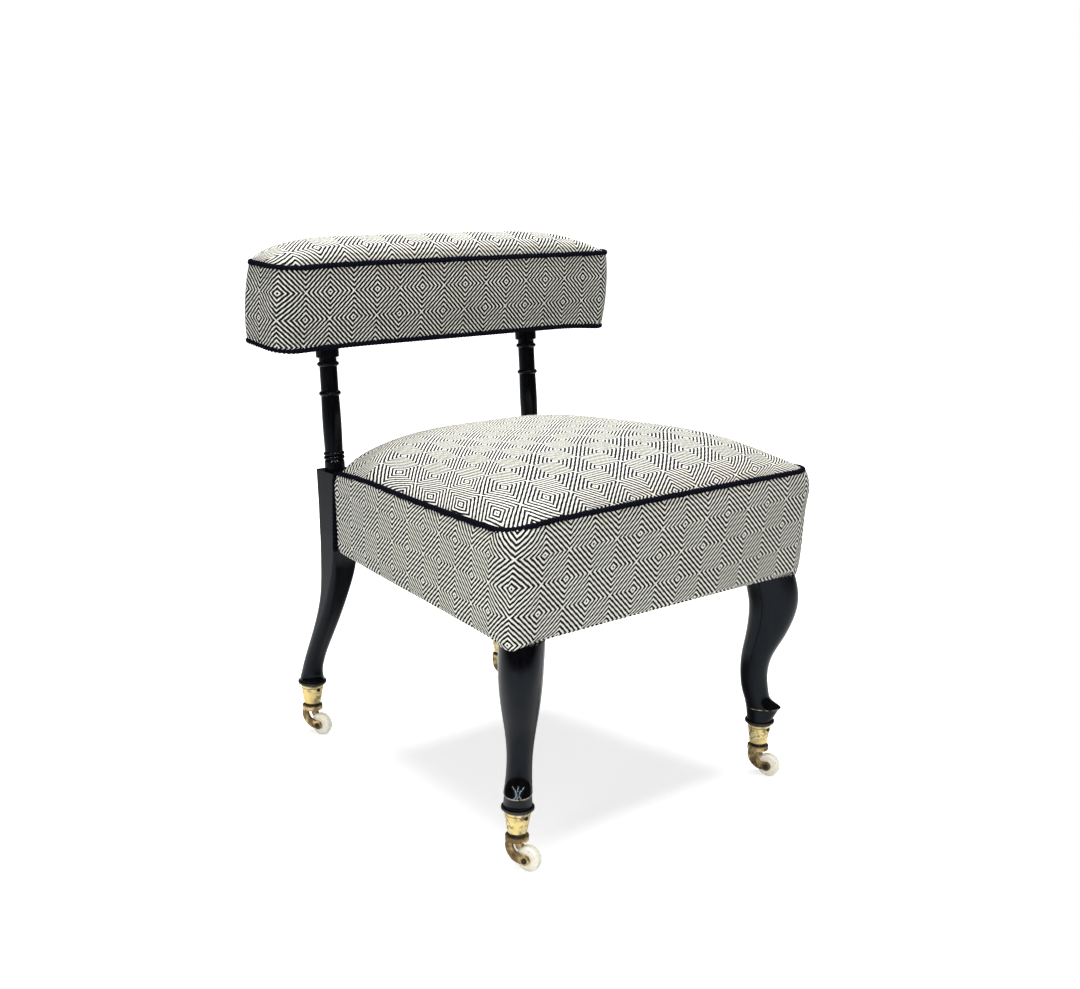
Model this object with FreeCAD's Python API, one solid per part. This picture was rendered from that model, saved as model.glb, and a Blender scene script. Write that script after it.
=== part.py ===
import FreeCAD, Part
import math
import os

# Ebonised slipper chair on castors: cabriole front legs, sabre rear legs with turned posts,
# a sprung seat and a stuffed back cushion. Millimetres, +Z up, front towards -Y, origin on the
# floor. Left is -X and right is +X, as seen from the front.

# Castor places on the floor
front_castor_x = 200.0
front_castor_y = -220.0
rear_castor_x = 163.0
rear_castor_y = 234.0

# Castor wheel, axle and horn
wheel_diameter = 28.5
wheel_width = 12.0
wheel_tread = 3.0
wheel_shoulder_diameter = 23.0
wheel_hub_diameter = 14.0
wheel_face_dish = 0.5
axle_diameter = 4.0
axle_head_diameter = 6.4
axle_head_height = 1.0
running_clearance = 0.05
castor_trail = 16.0
castor_heading = -74.0
cheek_thickness = 3.4
cheek_gap = 0.6
cheek_end_diameter = 11.0
cheek_root_share = 0.3
cheek_heel_share = 0.2
cheek_heel_rise = 1.2
cheek_crook_share = 0.24
cheek_crook_rise = 1.55
cheek_lower_angle = 235.0
cheek_tip_angle = 350.0
cheek_upper_angle = 105.0
plate_diameter = 26.0
plate_thickness = 5.3
plate_top = 37.2

# Castor cup and swivel pin
cup_bottom = 41.5
cup_floor = 4.0
cup_bottom_diameter = 21.5
cup_top_diameter = 30.0
cup_height = 24.5
cup_wall = 1.8
rim_diameter = 36.5
rim_height = 4.8
rim_edge = 2.2
pintle_diameter = 7.0
pintle_collar_diameter = 19.0
pintle_head_diameter = 11.0
pintle_head_flat = 7.6
pintle_head_height = 2.4
swivel_clearance = 0.1
spigot_clearance = 0.15
foot_corner_share = 0.98
castor_screw_diameter = 2.6
castor_screw_head_diameter = 4.8
castor_screw_head_height = 0.8
castor_screw_length = 9.0
castor_screw_drop = 5.0

# Front cabriole legs, section by section: height, inner reach, outer reach, half width.
# Reach is measured from the castor axis along the seat's corner diagonal.
leg_gap = 0.3
border_bottom_front = 262.0
border_bottom_rear = 267.0
knee_top = border_bottom_front - leg_gap
front_leg_sections = [
    (knee_top, -29.0, 31.2, 24.8),
    (232.0, -24.2, 37.6, 24.4),
    (212.0, -22.0, 35.5, 23.4),
    (193.0, -22.8, 29.2, 21.7),
    (173.0, -25.3, 19.4, 19.3),
    (155.0, -27.8, 10.5, 17.0),
    (135.0, -28.0, 6.4, 14.8),
    (115.0, -25.6, 7.8, 14.0),
    (103.0, -22.2, 10.2, 14.3),
    (94.6, -19.6, 16.6, 15.0),
    (88.2, -18.2, 25.3, 15.7),
]
toe_lip = 3.0
toe_undercut = 2.6
front_block_side = 46.0

# Rear sabre legs, section by section: height, front y, rear y, half width, corner radius
stump_top = 364.0
stump_front = 155.5
stump_half_width = 18.5
rear_leg_sections = [
    (stump_top, stump_front, 194.0, stump_half_width, 2.0),
    (320.0, stump_front, 189.5, stump_half_width, 2.0),
    (285.0, stump_front, 187.3, stump_half_width, 2.0),
    (256.0, stump_front, 187.8, 17.9, 3.5),
    (223.0, 161.0, 192.0, 16.7, 7.0),
    (195.0, 171.0, 198.5, 15.4, 9.0),
    (168.0, 183.0, 208.5, 14.5, 10.0),
    (138.0, 198.5, 222.5, 13.6, 10.5),
    (109.0, 213.5, 236.5, 13.0, 10.5),
    (88.0, 220.6, 245.0, 13.2, 11.0),
]

# Turned posts on the rear legs, measured along the leaning axis from the stump's top
post_x = 161.5
post_foot_y = 181.3
post_lean = 6.3
post_plinth_diameter = 25.0
post_plinth_height = 12.0
post_plinth_shoulder = 9.6
post_shaft_diameter = 22.4
post_swell_diameter = 23.6
post_neck_diameter = 21.8
post_ring_diameter = 27.0
post_ring_height = 6.0
post_bead_diameter = 26.0
post_bead_height = 5.0
post_middle_ring = 94.0
post_upper_ring = 130.0
post_collar_diameter = 28.5
post_collar_start = 137.0
post_collar_height = 26.0
post_pin_diameter = 18.0
post_pin_end = 186.0
pin_clearance = 0.1

# Seat outline at its widest, and the seam below the piping
seat_front_y = -251.5
seat_rear_y = 186.0
seat_front_half_width = 246.5
seat_rear_half_width = 181.5
seat_corner_radius = 30.0
seam_front = 388.0
seam_rear = 359.2
cover_thickness = 2.0
layer_gap = 0.2

# Seat border: share of the height, tuck at the front, tuck at the rear
border_sections = [
    (0.0, 9.0, 3.0),
    (0.05, 6.0, 2.0),
    (0.3, 1.5, 1.0),
    (0.55, 0.5, 0.5),
    (0.87, 0.0, 0.0),
    (1.0, 1.5, 1.5),
]
# Seat crown: distance in from the outline as a share of the front half width, rise above the seam
crown_sections = [
    (0.035, 0.0),
    (0.049, 6.0),
    (0.073, 13.0),
    (0.114, 23.0),
    (0.174, 31.5),
    (0.296, 43.5),
    (0.458, 52.0),
    (0.62, 55.5),
]
crown_rounding = 0.2

# Piping
piping_diameter = 6.5
piping_inset = 5.0

# Seat frame, blocks and screws
frame_inset = 12.0
rail_thickness = 22.0
rear_rail_thickness = 20.0
rail_bottom = 270.5
rail_top = 328.0
tenon_thickness = 10.0
tenon_shoulder = 10.0
front_tenon_length = 18.0
side_tenon_length = 18.0
rear_tenon_length = 10.0
corner_block_reach = 58.0
corner_block_bottom = 276.0
corner_block_height = 32.0
block_screw_diameter = 5.0
block_screw_head_diameter = 9.0
block_screw_head_height = 3.0
block_screw_length = 34.0
block_screw_places = {"front": 0.5, "rear": 0.78}

# Webbing, springs, hessian and dust cover
strap_width = 50.0
strap_thickness = 1.5
strap_pitch_across = 85.0
strap_pitch_along = 105.0
strap_count = 3
strap_landing = 12.0
strap_slope = 15.0
spring_wire = 3.2
spring_end_radius = 36.0
spring_waist_radius = 24.0
spring_turns = 4
spring_top = 378.0
spring_front_y = -128.0
spring_rear_y = 72.0
spring_middle_y = -28.0
hessian_thickness = 1.2
# Hessian dome: distance in as a share of the front half width, rise above the rails
hessian_sections = [
    (0.057, 0.0),
    (0.105, 24.0),
    (0.211, 45.0),
    (0.385, 54.0),
    (0.568, 56.0),
]
dust_cover_thickness = 1.0
dust_cover_inset = 17.0

# Back cushion outline at its widest, at the bottom seam and at the top seam
back_bottom_seam = 527.5
back_top_seam = 616.8
back_bottom_front = 137.5
back_bottom_rear = 224.5
back_bottom_half_width = 267.0
back_top_front = 132.5
back_top_rear = 217.0
back_top_half_width = 267.0
back_front_radius = 26.0
back_rear_radius = 12.0
back_corner_room = 0.9
# Back band: share of the height, tuck
band_sections = [(0.0, 1.5), (0.3, -0.5), (0.65, -0.8), (1.0, 1.5)]
# Back top and bottom panels: inset at front and rear, inset at the ends, rise
back_piping_inset = 4.0
back_crown_sections = [
    (8.1, 8.1, 0.0),
    (9.6, 11.0, 7.0),
    (14.0, 22.0, 15.0),
    (22.0, 45.0, 23.0),
    (32.0, 85.0, 29.0),
    (40.0, 125.0, 32.0),
]
back_sag_sections = [(8.1, 8.1, 0.0), (14.0, 16.0, 2.6), (28.0, 40.0, 4.6)]

# Back frame boards and the screws into the posts
board_half_length = 222.0
bottom_board_front = 158.0
bottom_board_rear = 214.0
bottom_board_bottom = 531.0
bottom_board_thickness = 18.0
top_board_front = 153.0
top_board_rear = 203.0
top_board_top = 607.0
top_board_thickness = 16.0
end_block_length = 25.0
post_screw_diameter = 5.0
post_screw_head_diameter = 9.0
post_screw_head_height = 3.0
post_screw_length = 44.0

os.makedirs("parts", exist_ok=True)
V = FreeCAD.Vector
UP = V(0, 0, 1)
SIDES = {"left": -1, "right": 1}
SURFACE_DEGREE = 3


def save(name, shape):
    """Write one sub-part and print its volume."""
    if not shape.isValid():
        raise ValueError(name + " is not a valid shape")
    shape.exportStep("parts/" + name + ".step")
    print(name, len(shape.Solids), round(shape.Volume, 1))


def mirrored(shape):
    """The same piece on the other side of the chair's middle plane."""
    return shape.mirror(V(0, 0, 0), V(1, 0, 0))


def on_side(shape, sign):
    """A piece modelled on the right, kept there or mirrored to the left."""
    return shape if sign > 0 else mirrored(shape)


def joined(shapes):
    """Fuse overlapping shapes into one solid with merged faces."""
    whole = shapes[0]
    for shape in shapes[1:]:
        whole = whole.fuse(shape)
    return whole.removeSplitter()


def cut_all(shape, tools):
    """Cut every tool from the shape."""
    for tool in tools:
        shape = shape.cut(tool)
    return shape


def box(x0, x1, y0, y1, z0, z1):
    """A box between two corners."""
    return Part.makeBox(x1 - x0, y1 - y0, z1 - z0, V(x0, y0, z0))


def rod(start, end, diameter):
    """A round bar between two points."""
    along = end - start
    return Part.makeCylinder(diameter / 2, along.Length, start, along)


def polygon(points):
    """A closed wire through points."""
    return Part.makePolygon(points + [points[0]])


def prism(plan, z0, z1):
    """An upright prism over a plan polygon of (x, y) corners."""
    face = Part.Face(polygon([V(x, y, z0) for x, y in plan]))
    return face.extrude(V(0, 0, z1 - z0))


def rounded_wire(corners, lift):
    """A closed outline of lines and corner arcs.

    corners are (x, y, radius) in order, radius 0 for a sharp one; lift(point) sets it in space.
    """
    count = len(corners)
    starts, ends, middles = [], [], []
    for i, (x, y, radius) in enumerate(corners):
        here = V(x, y, 0)
        before = V(corners[i - 1][0], corners[i - 1][1], 0) - here
        after = V(corners[(i + 1) % count][0], corners[(i + 1) % count][1], 0) - here
        before.normalize()
        after.normalize()
        half = before.getAngle(after) / 2
        reach = radius / math.tan(half)
        bisector = (before + after).normalize()
        starts.append(here + before * reach)
        ends.append(here + after * reach)
        middles.append(here + bisector * (radius / math.sin(half) - radius))
    edges = []
    for i, (x, y, radius) in enumerate(corners):
        if radius:
            arc = Part.Arc(lift(starts[i]), lift(middles[i]), lift(ends[i]))
            edges.append(arc.toShape())
        line = Part.LineSegment(lift(ends[i]), lift(starts[(i + 1) % count]))
        edges.append(line.toShape())
    return Part.Wire(edges)


def level_at(z):
    """A level plane at a height."""
    return lambda point: V(point.x, point.y, z)


def rectangle_wire(x0, x1, y0, y1, front_radius, rear_radius, z):
    """A level rectangle with rounded corners at its front and its rear."""
    front = [(x0, y0, front_radius), (x1, y0, front_radius)]
    rear = [(x1, y1, rear_radius), (x0, y1, rear_radius)]
    return rounded_wire(front + rear, level_at(z))


def turned(profile):
    """Revolve a half profile about Z.

    The profile starts with a point (radius, height); each later step is such a point, for a
    straight run, or a pair of points, for an arc through the first to the second.
    """
    def at(step):
        return V(step[0], 0, step[1])

    edges = []
    here = at(profile[0])
    for step in profile[1:] + [profile[0]]:
        if isinstance(step[0], tuple):
            edges.append(Part.Arc(here, at(step[0]), at(step[1])).toShape())
            here = at(step[1])
        elif (at(step) - here).Length > 0:
            edges.append(Part.LineSegment(here, at(step)).toShape())
            here = at(step)
    return Part.Face(Part.Wire(edges)).revolve(V(0, 0, 0), UP, 360)


def smooth_loft(wires):
    """A solid with even sides through level sections."""
    return Part.makeLoft(wires, True, False, False, SURFACE_DEGREE)


def tube(path, diameter):
    """A round cord along a path of tangent lines and arcs."""
    edge = path.OrderedEdges[0]
    start = edge.valueAt(edge.FirstParameter)
    along = edge.tangentAt(edge.FirstParameter)
    ring = Part.Wire([Part.Circle(start, along, diameter / 2).toShape()])
    return path.makePipeShell([ring], True, False)


# Castors


wheel_radius = wheel_diameter / 2
pintle_radius = pintle_diameter / 2
plate_bottom = plate_top - plate_thickness
cup_top = cup_bottom + cup_height
rim_top = cup_top + rim_height
cup_inside_bottom = cup_bottom + cup_floor
cheek_inner = wheel_width / 2 + cheek_gap
cheek_outer = cheek_inner + cheek_thickness
axle_point = V(castor_trail, 0, wheel_radius)
foot_radius = rim_diameter / 2 - rim_edge - spigot_clearance * 2
ankle_radius = foot_radius + spigot_clearance
CASTORS = {
    "front_left": (-front_castor_x, front_castor_y),
    "front_right": (front_castor_x, front_castor_y),
    "rear_left": (-rear_castor_x, rear_castor_y),
    "rear_right": (rear_castor_x, rear_castor_y),
}


def cup_inner_radius(z):
    """Radius of the cup's tapered bore at a height."""
    share = (z - cup_bottom) / cup_height
    return (cup_bottom_diameter + (cup_top_diameter - cup_bottom_diameter) * share) / 2 - cup_wall


def castor_cup():
    """Tapered cup with a flared rim, bored for the swivel pin and for its screws."""
    shell = turned([
        (pintle_radius, cup_bottom),
        (cup_bottom_diameter / 2, cup_bottom),
        (cup_top_diameter / 2, cup_top),
        (rim_diameter / 2, rim_top - rim_edge),
        (rim_diameter / 2, rim_top),
        (rim_diameter / 2 - rim_edge, rim_top),
        (cup_inner_radius(cup_top), cup_top),
        (cup_inner_radius(cup_inside_bottom), cup_inside_bottom),
        (pintle_radius, cup_inside_bottom),
    ])
    return shell.cut(castor_screw(layer_gap))


def castor_screw(clearance):
    """One screw from the front of the cup into the leg, square to the castor axis."""
    z = cup_top - castor_screw_drop
    surface = cup_inner_radius(z) + cup_wall
    head_seat = V(0, -surface + castor_screw_head_height, z)
    tip = head_seat + V(0, castor_screw_length, 0)
    head = rod(head_seat, head_seat - V(0, 2 * castor_screw_head_height, 0),
               castor_screw_head_diameter + 2 * clearance)
    shank = rod(head_seat, tip + V(0, clearance, 0), castor_screw_diameter + 2 * clearance)
    return head.fuse(shank)


def castor_pintle():
    """Swivel pin: head riveted in the cup, dark collar, pin and lower head."""
    collar = pintle_collar_diameter / 2
    head = pintle_head_diameter / 2
    flat = pintle_head_flat / 2
    collar_bottom = plate_top + swivel_clearance
    lower_head = plate_bottom - swivel_clearance
    upper_head = cup_inside_bottom + pintle_head_height
    return turned([
        (0.0, lower_head - pintle_head_height),
        (flat, lower_head - pintle_head_height),
        (head, lower_head),
        (pintle_radius, lower_head),
        (pintle_radius, collar_bottom),
        (collar, collar_bottom),
        (collar, cup_bottom),
        (pintle_radius, cup_bottom),
        (pintle_radius, cup_inside_bottom),
        (head, cup_inside_bottom),
        (flat, upper_head),
        (0.0, upper_head),
    ])


def castor_cheek():
    """One arm of the fork: a band that sweeps from the plate to a round axle end."""
    end = cheek_end_diameter / 2

    def around_axle(degrees):
        turn = math.radians(degrees)
        return axle_point + V(end * math.cos(turn), 0, end * math.sin(turn))

    lower = around_axle(cheek_lower_angle)
    upper = around_axle(cheek_upper_angle)
    root = plate_bottom + plate_thickness / 2
    back_top = V(-plate_diameter * cheek_root_share, 0, root)
    inner_top = V(0, 0, root)
    heel = V(-plate_diameter * cheek_heel_share, 0, wheel_radius * cheek_heel_rise)
    crook = V(castor_trail * cheek_crook_share, 0, wheel_radius * cheek_crook_rise)
    edges = [
        Part.Arc(back_top, heel, lower).toShape(),
        Part.Arc(lower, around_axle(cheek_tip_angle), upper).toShape(),
        Part.Arc(upper, crook, inner_top).toShape(),
        Part.LineSegment(inner_top, back_top).toShape(),
    ]
    face = Part.Face(Part.Wire(edges))
    face.translate(V(0, cheek_inner, 0))
    return face.extrude(V(0, cheek_thickness, 0))


def castor_horn():
    """Cast fork: round swivel plate with two cheeks, bored for pin and axle."""
    plate = Part.makeCylinder(plate_diameter / 2, plate_thickness, V(0, 0, plate_bottom))
    cheek = castor_cheek()
    horn = joined([plate, cheek, cheek.mirror(V(0, 0, 0), V(0, 1, 0))])
    bore = Part.makeCylinder(pintle_radius + running_clearance, plate_top, V(0, 0, 0))
    axle = rod(axle_point - V(0, cheek_outer, 0), axle_point + V(0, cheek_outer, 0), axle_diameter)
    return cut_all(horn, [bore, axle])


def castor_axle():
    """Axle pin riveted over at both ends."""
    half = V(0, cheek_outer, 0)
    head = V(0, axle_head_height, 0)
    pin = rod(axle_point - half, axle_point + half, axle_diameter)
    heads = [
        rod(axle_point + half, axle_point + half + head, axle_head_diameter),
        rod(axle_point - half - head, axle_point - half, axle_head_diameter),
    ]
    return joined([pin] + heads)


def castor_wheel():
    """Ceramic wheel: rounded tread, dished faces and a flat hub."""
    half = wheel_width / 2
    bore = axle_diameter / 2 + running_clearance
    hub = wheel_hub_diameter / 2
    shoulder = wheel_shoulder_diameter / 2
    tread = wheel_tread / 2
    bulge_radius = (wheel_radius + shoulder) / 2 + wheel_face_dish
    bulge_height = (half + tread) / 2 + wheel_face_dish
    wheel = turned([
        (bore, -half),
        (hub, -half),
        (hub + wheel_face_dish, -half + wheel_face_dish),
        (shoulder, -half + wheel_face_dish),
        ((bulge_radius, -bulge_height), (wheel_radius, -tread)),
        (wheel_radius, tread),
        ((bulge_radius, bulge_height), (shoulder, half - wheel_face_dish)),
        (hub + wheel_face_dish, half - wheel_face_dish),
        (hub, half),
        (bore, half),
    ])
    wheel.rotate(V(0, 0, 0), V(1, 0, 0), 90)
    wheel.translate(axle_point)
    return wheel


def placed_castor(shape, place, heading):
    """Turn a castor piece to its heading and set it on its castor axis."""
    piece = shape.copy()
    piece.rotate(V(0, 0, 0), UP, heading)
    piece.translate(V(place[0], place[1], 0))
    return piece


def leg_spigot():
    """The round end of a leg that sits in the cup, from the foot down."""
    bottom = cup_inside_bottom + pintle_head_height + layer_gap
    return turned([
        (0.0, bottom),
        (cup_inner_radius(bottom) - spigot_clearance, bottom),
        (cup_inner_radius(cup_top) - spigot_clearance, cup_top),
        (foot_radius, rim_top),
        (foot_radius, rim_top + rim_edge),
        (0.0, rim_top + rim_edge),
    ])


# Seat outline


def between(a, b, share):
    """The value a share of the way from a to b."""
    return a + (b - a) * share


def seat_level(front, rear):
    """A plane through two heights, at the front and the rear of the seat."""
    def level(point):
        share = (point.y - seat_front_y) / (seat_rear_y - seat_front_y)
        return V(point.x, point.y, between(front, rear, share))
    return level


def seat_half_width(y):
    """Half the seat's width at its widest level."""
    share = (y - seat_front_y) / (seat_rear_y - seat_front_y)
    return between(seat_front_half_width, seat_rear_half_width, share)


def seat_outline(front_inset, rear_inset, radius, level):
    """Tapered outline with rounded front corners, drawn in by its insets."""
    front = seat_front_half_width - front_inset
    rear = seat_rear_half_width - rear_inset * seat_rear_half_width / seat_front_half_width
    y0 = seat_front_y + front_inset
    y1 = seat_rear_y - rear_inset
    corners = [(-front, y0, radius), (front, y0, radius), (rear, y1, 0.0), (-rear, y1, 0.0)]
    return rounded_wire(corners, level)


def border_form(inset):
    """The seat below its seam, drawn in by an inset."""
    wires = []
    for share, front, rear in border_sections:
        level = seat_level(between(border_bottom_front, seam_front, share),
                           between(border_bottom_rear, seam_rear, share))
        wires.append(seat_outline(front + inset, rear + inset, seat_corner_radius, level))
    return smooth_loft(wires)


def crown_form(inset):
    """The crowned seat above its seam, drawn in by an inset."""
    wires = []
    for share, rise in crown_sections:
        distance = share * seat_front_half_width
        height = rise * (1 - inset / crown_sections[-1][1])
        level = seat_level(seam_front + height, seam_rear + height)
        radius = seat_corner_radius + crown_rounding * distance
        wires.append(seat_outline(distance + inset, distance + inset, radius, level))
    return smooth_loft(wires)


def hessian_form(inset):
    """The dome over the springs, drawn in by an inset."""
    wires = []
    for share, rise in hessian_sections:
        distance = share * seat_front_half_width
        height = rail_top + rise * (1 - inset / hessian_sections[-1][1])
        level = seat_level(height, height)
        radius = seat_corner_radius + crown_rounding * distance
        wires.append(seat_outline(distance + inset, distance + inset, radius, level))
    return smooth_loft(wires)


# Rear legs


rear_leg_inner = rear_castor_x - stump_half_width
piping_radius = piping_diameter / 2


def lean_over(shape):
    """Lean an upright turning back and set it on the right rear stump."""
    piece = shape.copy()
    piece.rotate(V(0, 0, 0), V(1, 0, 0), -post_lean)
    piece.translate(V(post_x, post_foot_y, stump_top))
    return piece


def bead(neck_before, crest, neck_after, middle, height):
    """Profile steps of a half-round ring between two necks."""
    return [
        (neck_before / 2, middle - height / 2),
        ((crest / 2, middle), (neck_after / 2, middle + height / 2)),
    ]


def post_turning():
    """Plinth, two beads, swelling shaft, two rings, collar and pin, before it leans."""
    sunk = -post_plinth_height / 2
    lower_bead = post_plinth_height + post_bead_height / 2
    upper_bead = lower_bead + post_bead_height
    shaft_start = upper_bead + post_bead_height / 2
    shaft_end = post_middle_ring - post_ring_height / 2
    shaft_middle = (shaft_start + shaft_end) / 2
    collar_end = post_collar_start + post_collar_height
    collar_slope = (post_collar_diameter - post_neck_diameter) / 4
    shaft, neck = post_shaft_diameter, post_neck_diameter
    profile = [(0.0, sunk), (post_plinth_diameter / 2, sunk)]
    profile += [(post_plinth_diameter / 2, post_plinth_shoulder)]
    for middle in (lower_bead, upper_bead):
        profile += bead(shaft, post_bead_diameter, shaft, middle, post_bead_height)
    profile += [((post_swell_diameter / 2, shaft_middle), (shaft / 2, shaft_end))]
    profile += bead(shaft, post_ring_diameter, neck, post_middle_ring, post_ring_height)
    profile += bead(neck, post_ring_diameter, neck, post_upper_ring, post_ring_height)
    profile += [
        (neck / 2, post_collar_start),
        (post_collar_diameter / 2, post_collar_start + collar_slope),
        (post_collar_diameter / 2, collar_end),
        (post_pin_diameter / 2, collar_end),
        (post_pin_diameter / 2, post_pin_end),
        (0.0, post_pin_end),
    ]
    return lean_over(turned(profile))


def post_pin_tool(clearance):
    """The pin above the collar, grown by a clearance, for boring boards and stuffing."""
    start = post_collar_start + post_collar_height / 2
    height = post_pin_end - start + clearance
    return lean_over(Part.makeCylinder(post_pin_diameter / 2 + clearance, height, V(0, 0, start)))


def post_collar_tool(clearance):
    """The collar, grown by a clearance, for boring the cushion's underside."""
    radius = post_collar_diameter / 2 + clearance
    height = post_collar_height + clearance
    return lean_over(Part.makeCylinder(radius, height, V(0, 0, post_collar_start)))


def post_screw(clearance):
    """Screw from the bottom board's front edge into the right post's pin."""
    z = bottom_board_bottom + bottom_board_thickness / 2
    seat = V(post_x, bottom_board_front + post_screw_head_height, z)
    tip = seat + V(0, post_screw_length + clearance, 0)
    head_end = seat + V(0, clearance, 0)
    head_start = V(post_x, bottom_board_front, z)
    head = rod(head_start, head_end, post_screw_head_diameter + 2 * clearance)
    return head.fuse(rod(seat, tip, post_screw_diameter + 2 * clearance))


def rear_leg():
    """Right rear leg: sabre leg, stump and turned post in one piece."""
    wires = []
    x = rear_castor_x
    for z, front, rear, half, radius in rear_leg_sections:
        wires.append(rectangle_wire(x - half, x + half, front, rear, radius, radius, z))
    foot_top = rim_top + rim_edge
    foot_corner = ankle_radius * foot_corner_share
    wires.append(rectangle_wire(x - ankle_radius, x + ankle_radius, rear_castor_y - ankle_radius,
                                rear_castor_y + ankle_radius, foot_corner, foot_corner, foot_top))
    blade = Part.makeLoft(wires[:3], True, True).fuse(smooth_loft(wires[2:]))
    spigot = leg_spigot()
    spigot.translate(V(rear_castor_x, rear_castor_y, 0))
    screw = castor_screw(layer_gap)
    screw.translate(V(rear_castor_x, rear_castor_y, 0))
    leg = joined([blade, spigot, post_turning()])
    return cut_all(leg, [screw, side_tenon(layer_gap), rear_tenon(layer_gap), post_screw(layer_gap)])


# Front legs


def diagonal_ellipse(z, inner, outer, half_width):
    """Section of the right front leg, long axis along the seat's corner diagonal."""
    middle = (inner + outer) / 2
    diagonal = V(1, -1, 0).normalize()
    centre = V(front_castor_x, front_castor_y, z) + diagonal * middle
    long_end = centre + diagonal * ((outer - inner) / 2)
    short_end = centre + UP.cross(diagonal) * half_width
    return Part.Wire([Part.Ellipse(long_end, short_end, centre).toShape()])


def front_leg():
    """Right front leg: cabriole sweep, scrolled toe, round foot and the block in the seat frame."""
    toe_z, toe_inner, toe_outer, toe_half = front_leg_sections[-1]
    foot_top = rim_top + rim_edge
    side_undercut = toe_undercut / 4
    lip = diagonal_ellipse(toe_z - toe_lip, toe_inner + side_undercut, toe_outer - toe_undercut,
                           toe_half - side_undercut)
    long_foot = ankle_radius + spigot_clearance
    base = diagonal_ellipse(foot_top, -long_foot, long_foot, ankle_radius)
    sweep = smooth_loft([diagonal_ellipse(*section) for section in front_leg_sections])
    toe_wire = diagonal_ellipse(*front_leg_sections[-1])
    toe = Part.makeLoft([toe_wire, lip, base], True, True)
    spigot = leg_spigot()
    spigot.translate(V(front_castor_x, front_castor_y, 0))
    screw = castor_screw(layer_gap)
    screw.translate(V(front_castor_x, front_castor_y, 0))
    leg = joined([front_block(0.0), sweep, toe, spigot])
    return cut_all(leg, [screw, front_tenon(layer_gap), side_tenon(layer_gap),
                         block_screw("front", layer_gap)])


# Seat frame


front_rail_y = seat_front_y + frame_inset
block_rear_y = front_rail_y + front_block_side
block_inner_x = seat_half_width(front_rail_y) - frame_inset - front_block_side
rear_rail_front = stump_front
rear_rail_rear = stump_front + rear_rail_thickness


def rail_x(y, inward):
    """X of the side rail's outer face, or of a line that far inside it."""
    return seat_half_width(y) - frame_inset - inward


def front_block(clearance):
    """Square top of the right front leg, between the rails, rounded at the seat's corner."""
    corners = [
        (block_inner_x - clearance, front_rail_y - clearance, 0.0),
        (rail_x(front_rail_y, -clearance), front_rail_y - clearance, seat_corner_radius),
        (rail_x(block_rear_y, -clearance), block_rear_y + clearance, 0.0),
        (block_inner_x - clearance, block_rear_y + clearance, 0.0),
    ]
    return Part.Face(rounded_wire(corners, level_at(knee_top))).extrude(V(0, 0, rail_top - knee_top))


def side_plan(y0, y1, inward, width):
    """Plan of a strip along the right side rail."""
    return [
        (rail_x(y0, inward), y0),
        (rail_x(y1, inward), y1),
        (rail_x(y1, inward + width), y1),
        (rail_x(y0, inward + width), y0),
    ]


def side_tenon(clearance):
    """The right side rail's tenon strip, past both ends of the rail."""
    cheek = (rail_thickness - tenon_thickness) / 2
    plan = side_plan(block_rear_y - side_tenon_length - clearance,
                     stump_front + side_tenon_length + clearance,
                     cheek - clearance, tenon_thickness + 2 * clearance)
    return prism(plan, rail_bottom + tenon_shoulder - clearance, rail_top - tenon_shoulder + clearance)


def front_tenon(clearance):
    """The front rail's tenon strip, past both ends of the rail."""
    middle = front_rail_y + rail_thickness / 2
    reach = block_inner_x + front_tenon_length + clearance
    half = tenon_thickness / 2 + clearance
    return box(-reach, reach, middle - half, middle + half,
               rail_bottom + tenon_shoulder - clearance, rail_top - tenon_shoulder + clearance)


def rear_tenon(clearance):
    """The rear rail's tenon strip, past both ends of the rail."""
    middle = (rear_rail_front + rear_rail_rear) / 2
    reach = rear_leg_inner + rear_tenon_length + clearance
    half = tenon_thickness / 2 + clearance
    return box(-reach, reach, middle - half, middle + half,
               rail_bottom + tenon_shoulder - clearance, rail_top - tenon_shoulder + clearance)


def front_rail():
    """Front seat rail with its tenons."""
    body = box(-block_inner_x, block_inner_x, front_rail_y, front_rail_y + rail_thickness,
               rail_bottom, rail_top)
    return joined([body, front_tenon(0.0)])


def rear_rail():
    """Rear seat rail with its tenons."""
    body = box(-rear_leg_inner, rear_leg_inner, rear_rail_front, rear_rail_rear,
               rail_bottom, rail_top)
    return cut_all(joined([body, rear_tenon(0.0)]), both_sides(block_screw("rear", layer_gap)))


def side_rail():
    """Right seat rail with its tenons."""
    body = prism(side_plan(block_rear_y, stump_front - leg_gap, 0.0, rail_thickness), rail_bottom, rail_top)
    return joined([body, side_tenon(0.0)])


def block_plan(end):
    """Plan of a right corner block, glued into the inner corner of the frame."""
    if end == "front":
        rail_y = front_rail_y + rail_thickness
        far_y = block_rear_y + corner_block_reach
        return [
            (block_inner_x, rail_y),
            (block_inner_x, block_rear_y),
            (rail_x(block_rear_y, rail_thickness), block_rear_y),
            (rail_x(far_y, rail_thickness), far_y),
            (block_inner_x - corner_block_reach, rail_y),
        ]
    rear_y = stump_front - leg_gap
    near_y = rear_y - corner_block_reach
    return [
        (rail_x(rear_y, rail_thickness), rear_y),
        (rail_x(near_y, rail_thickness), near_y),
        (rail_x(rear_y, rail_thickness) - corner_block_reach, rear_y),
    ]


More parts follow.
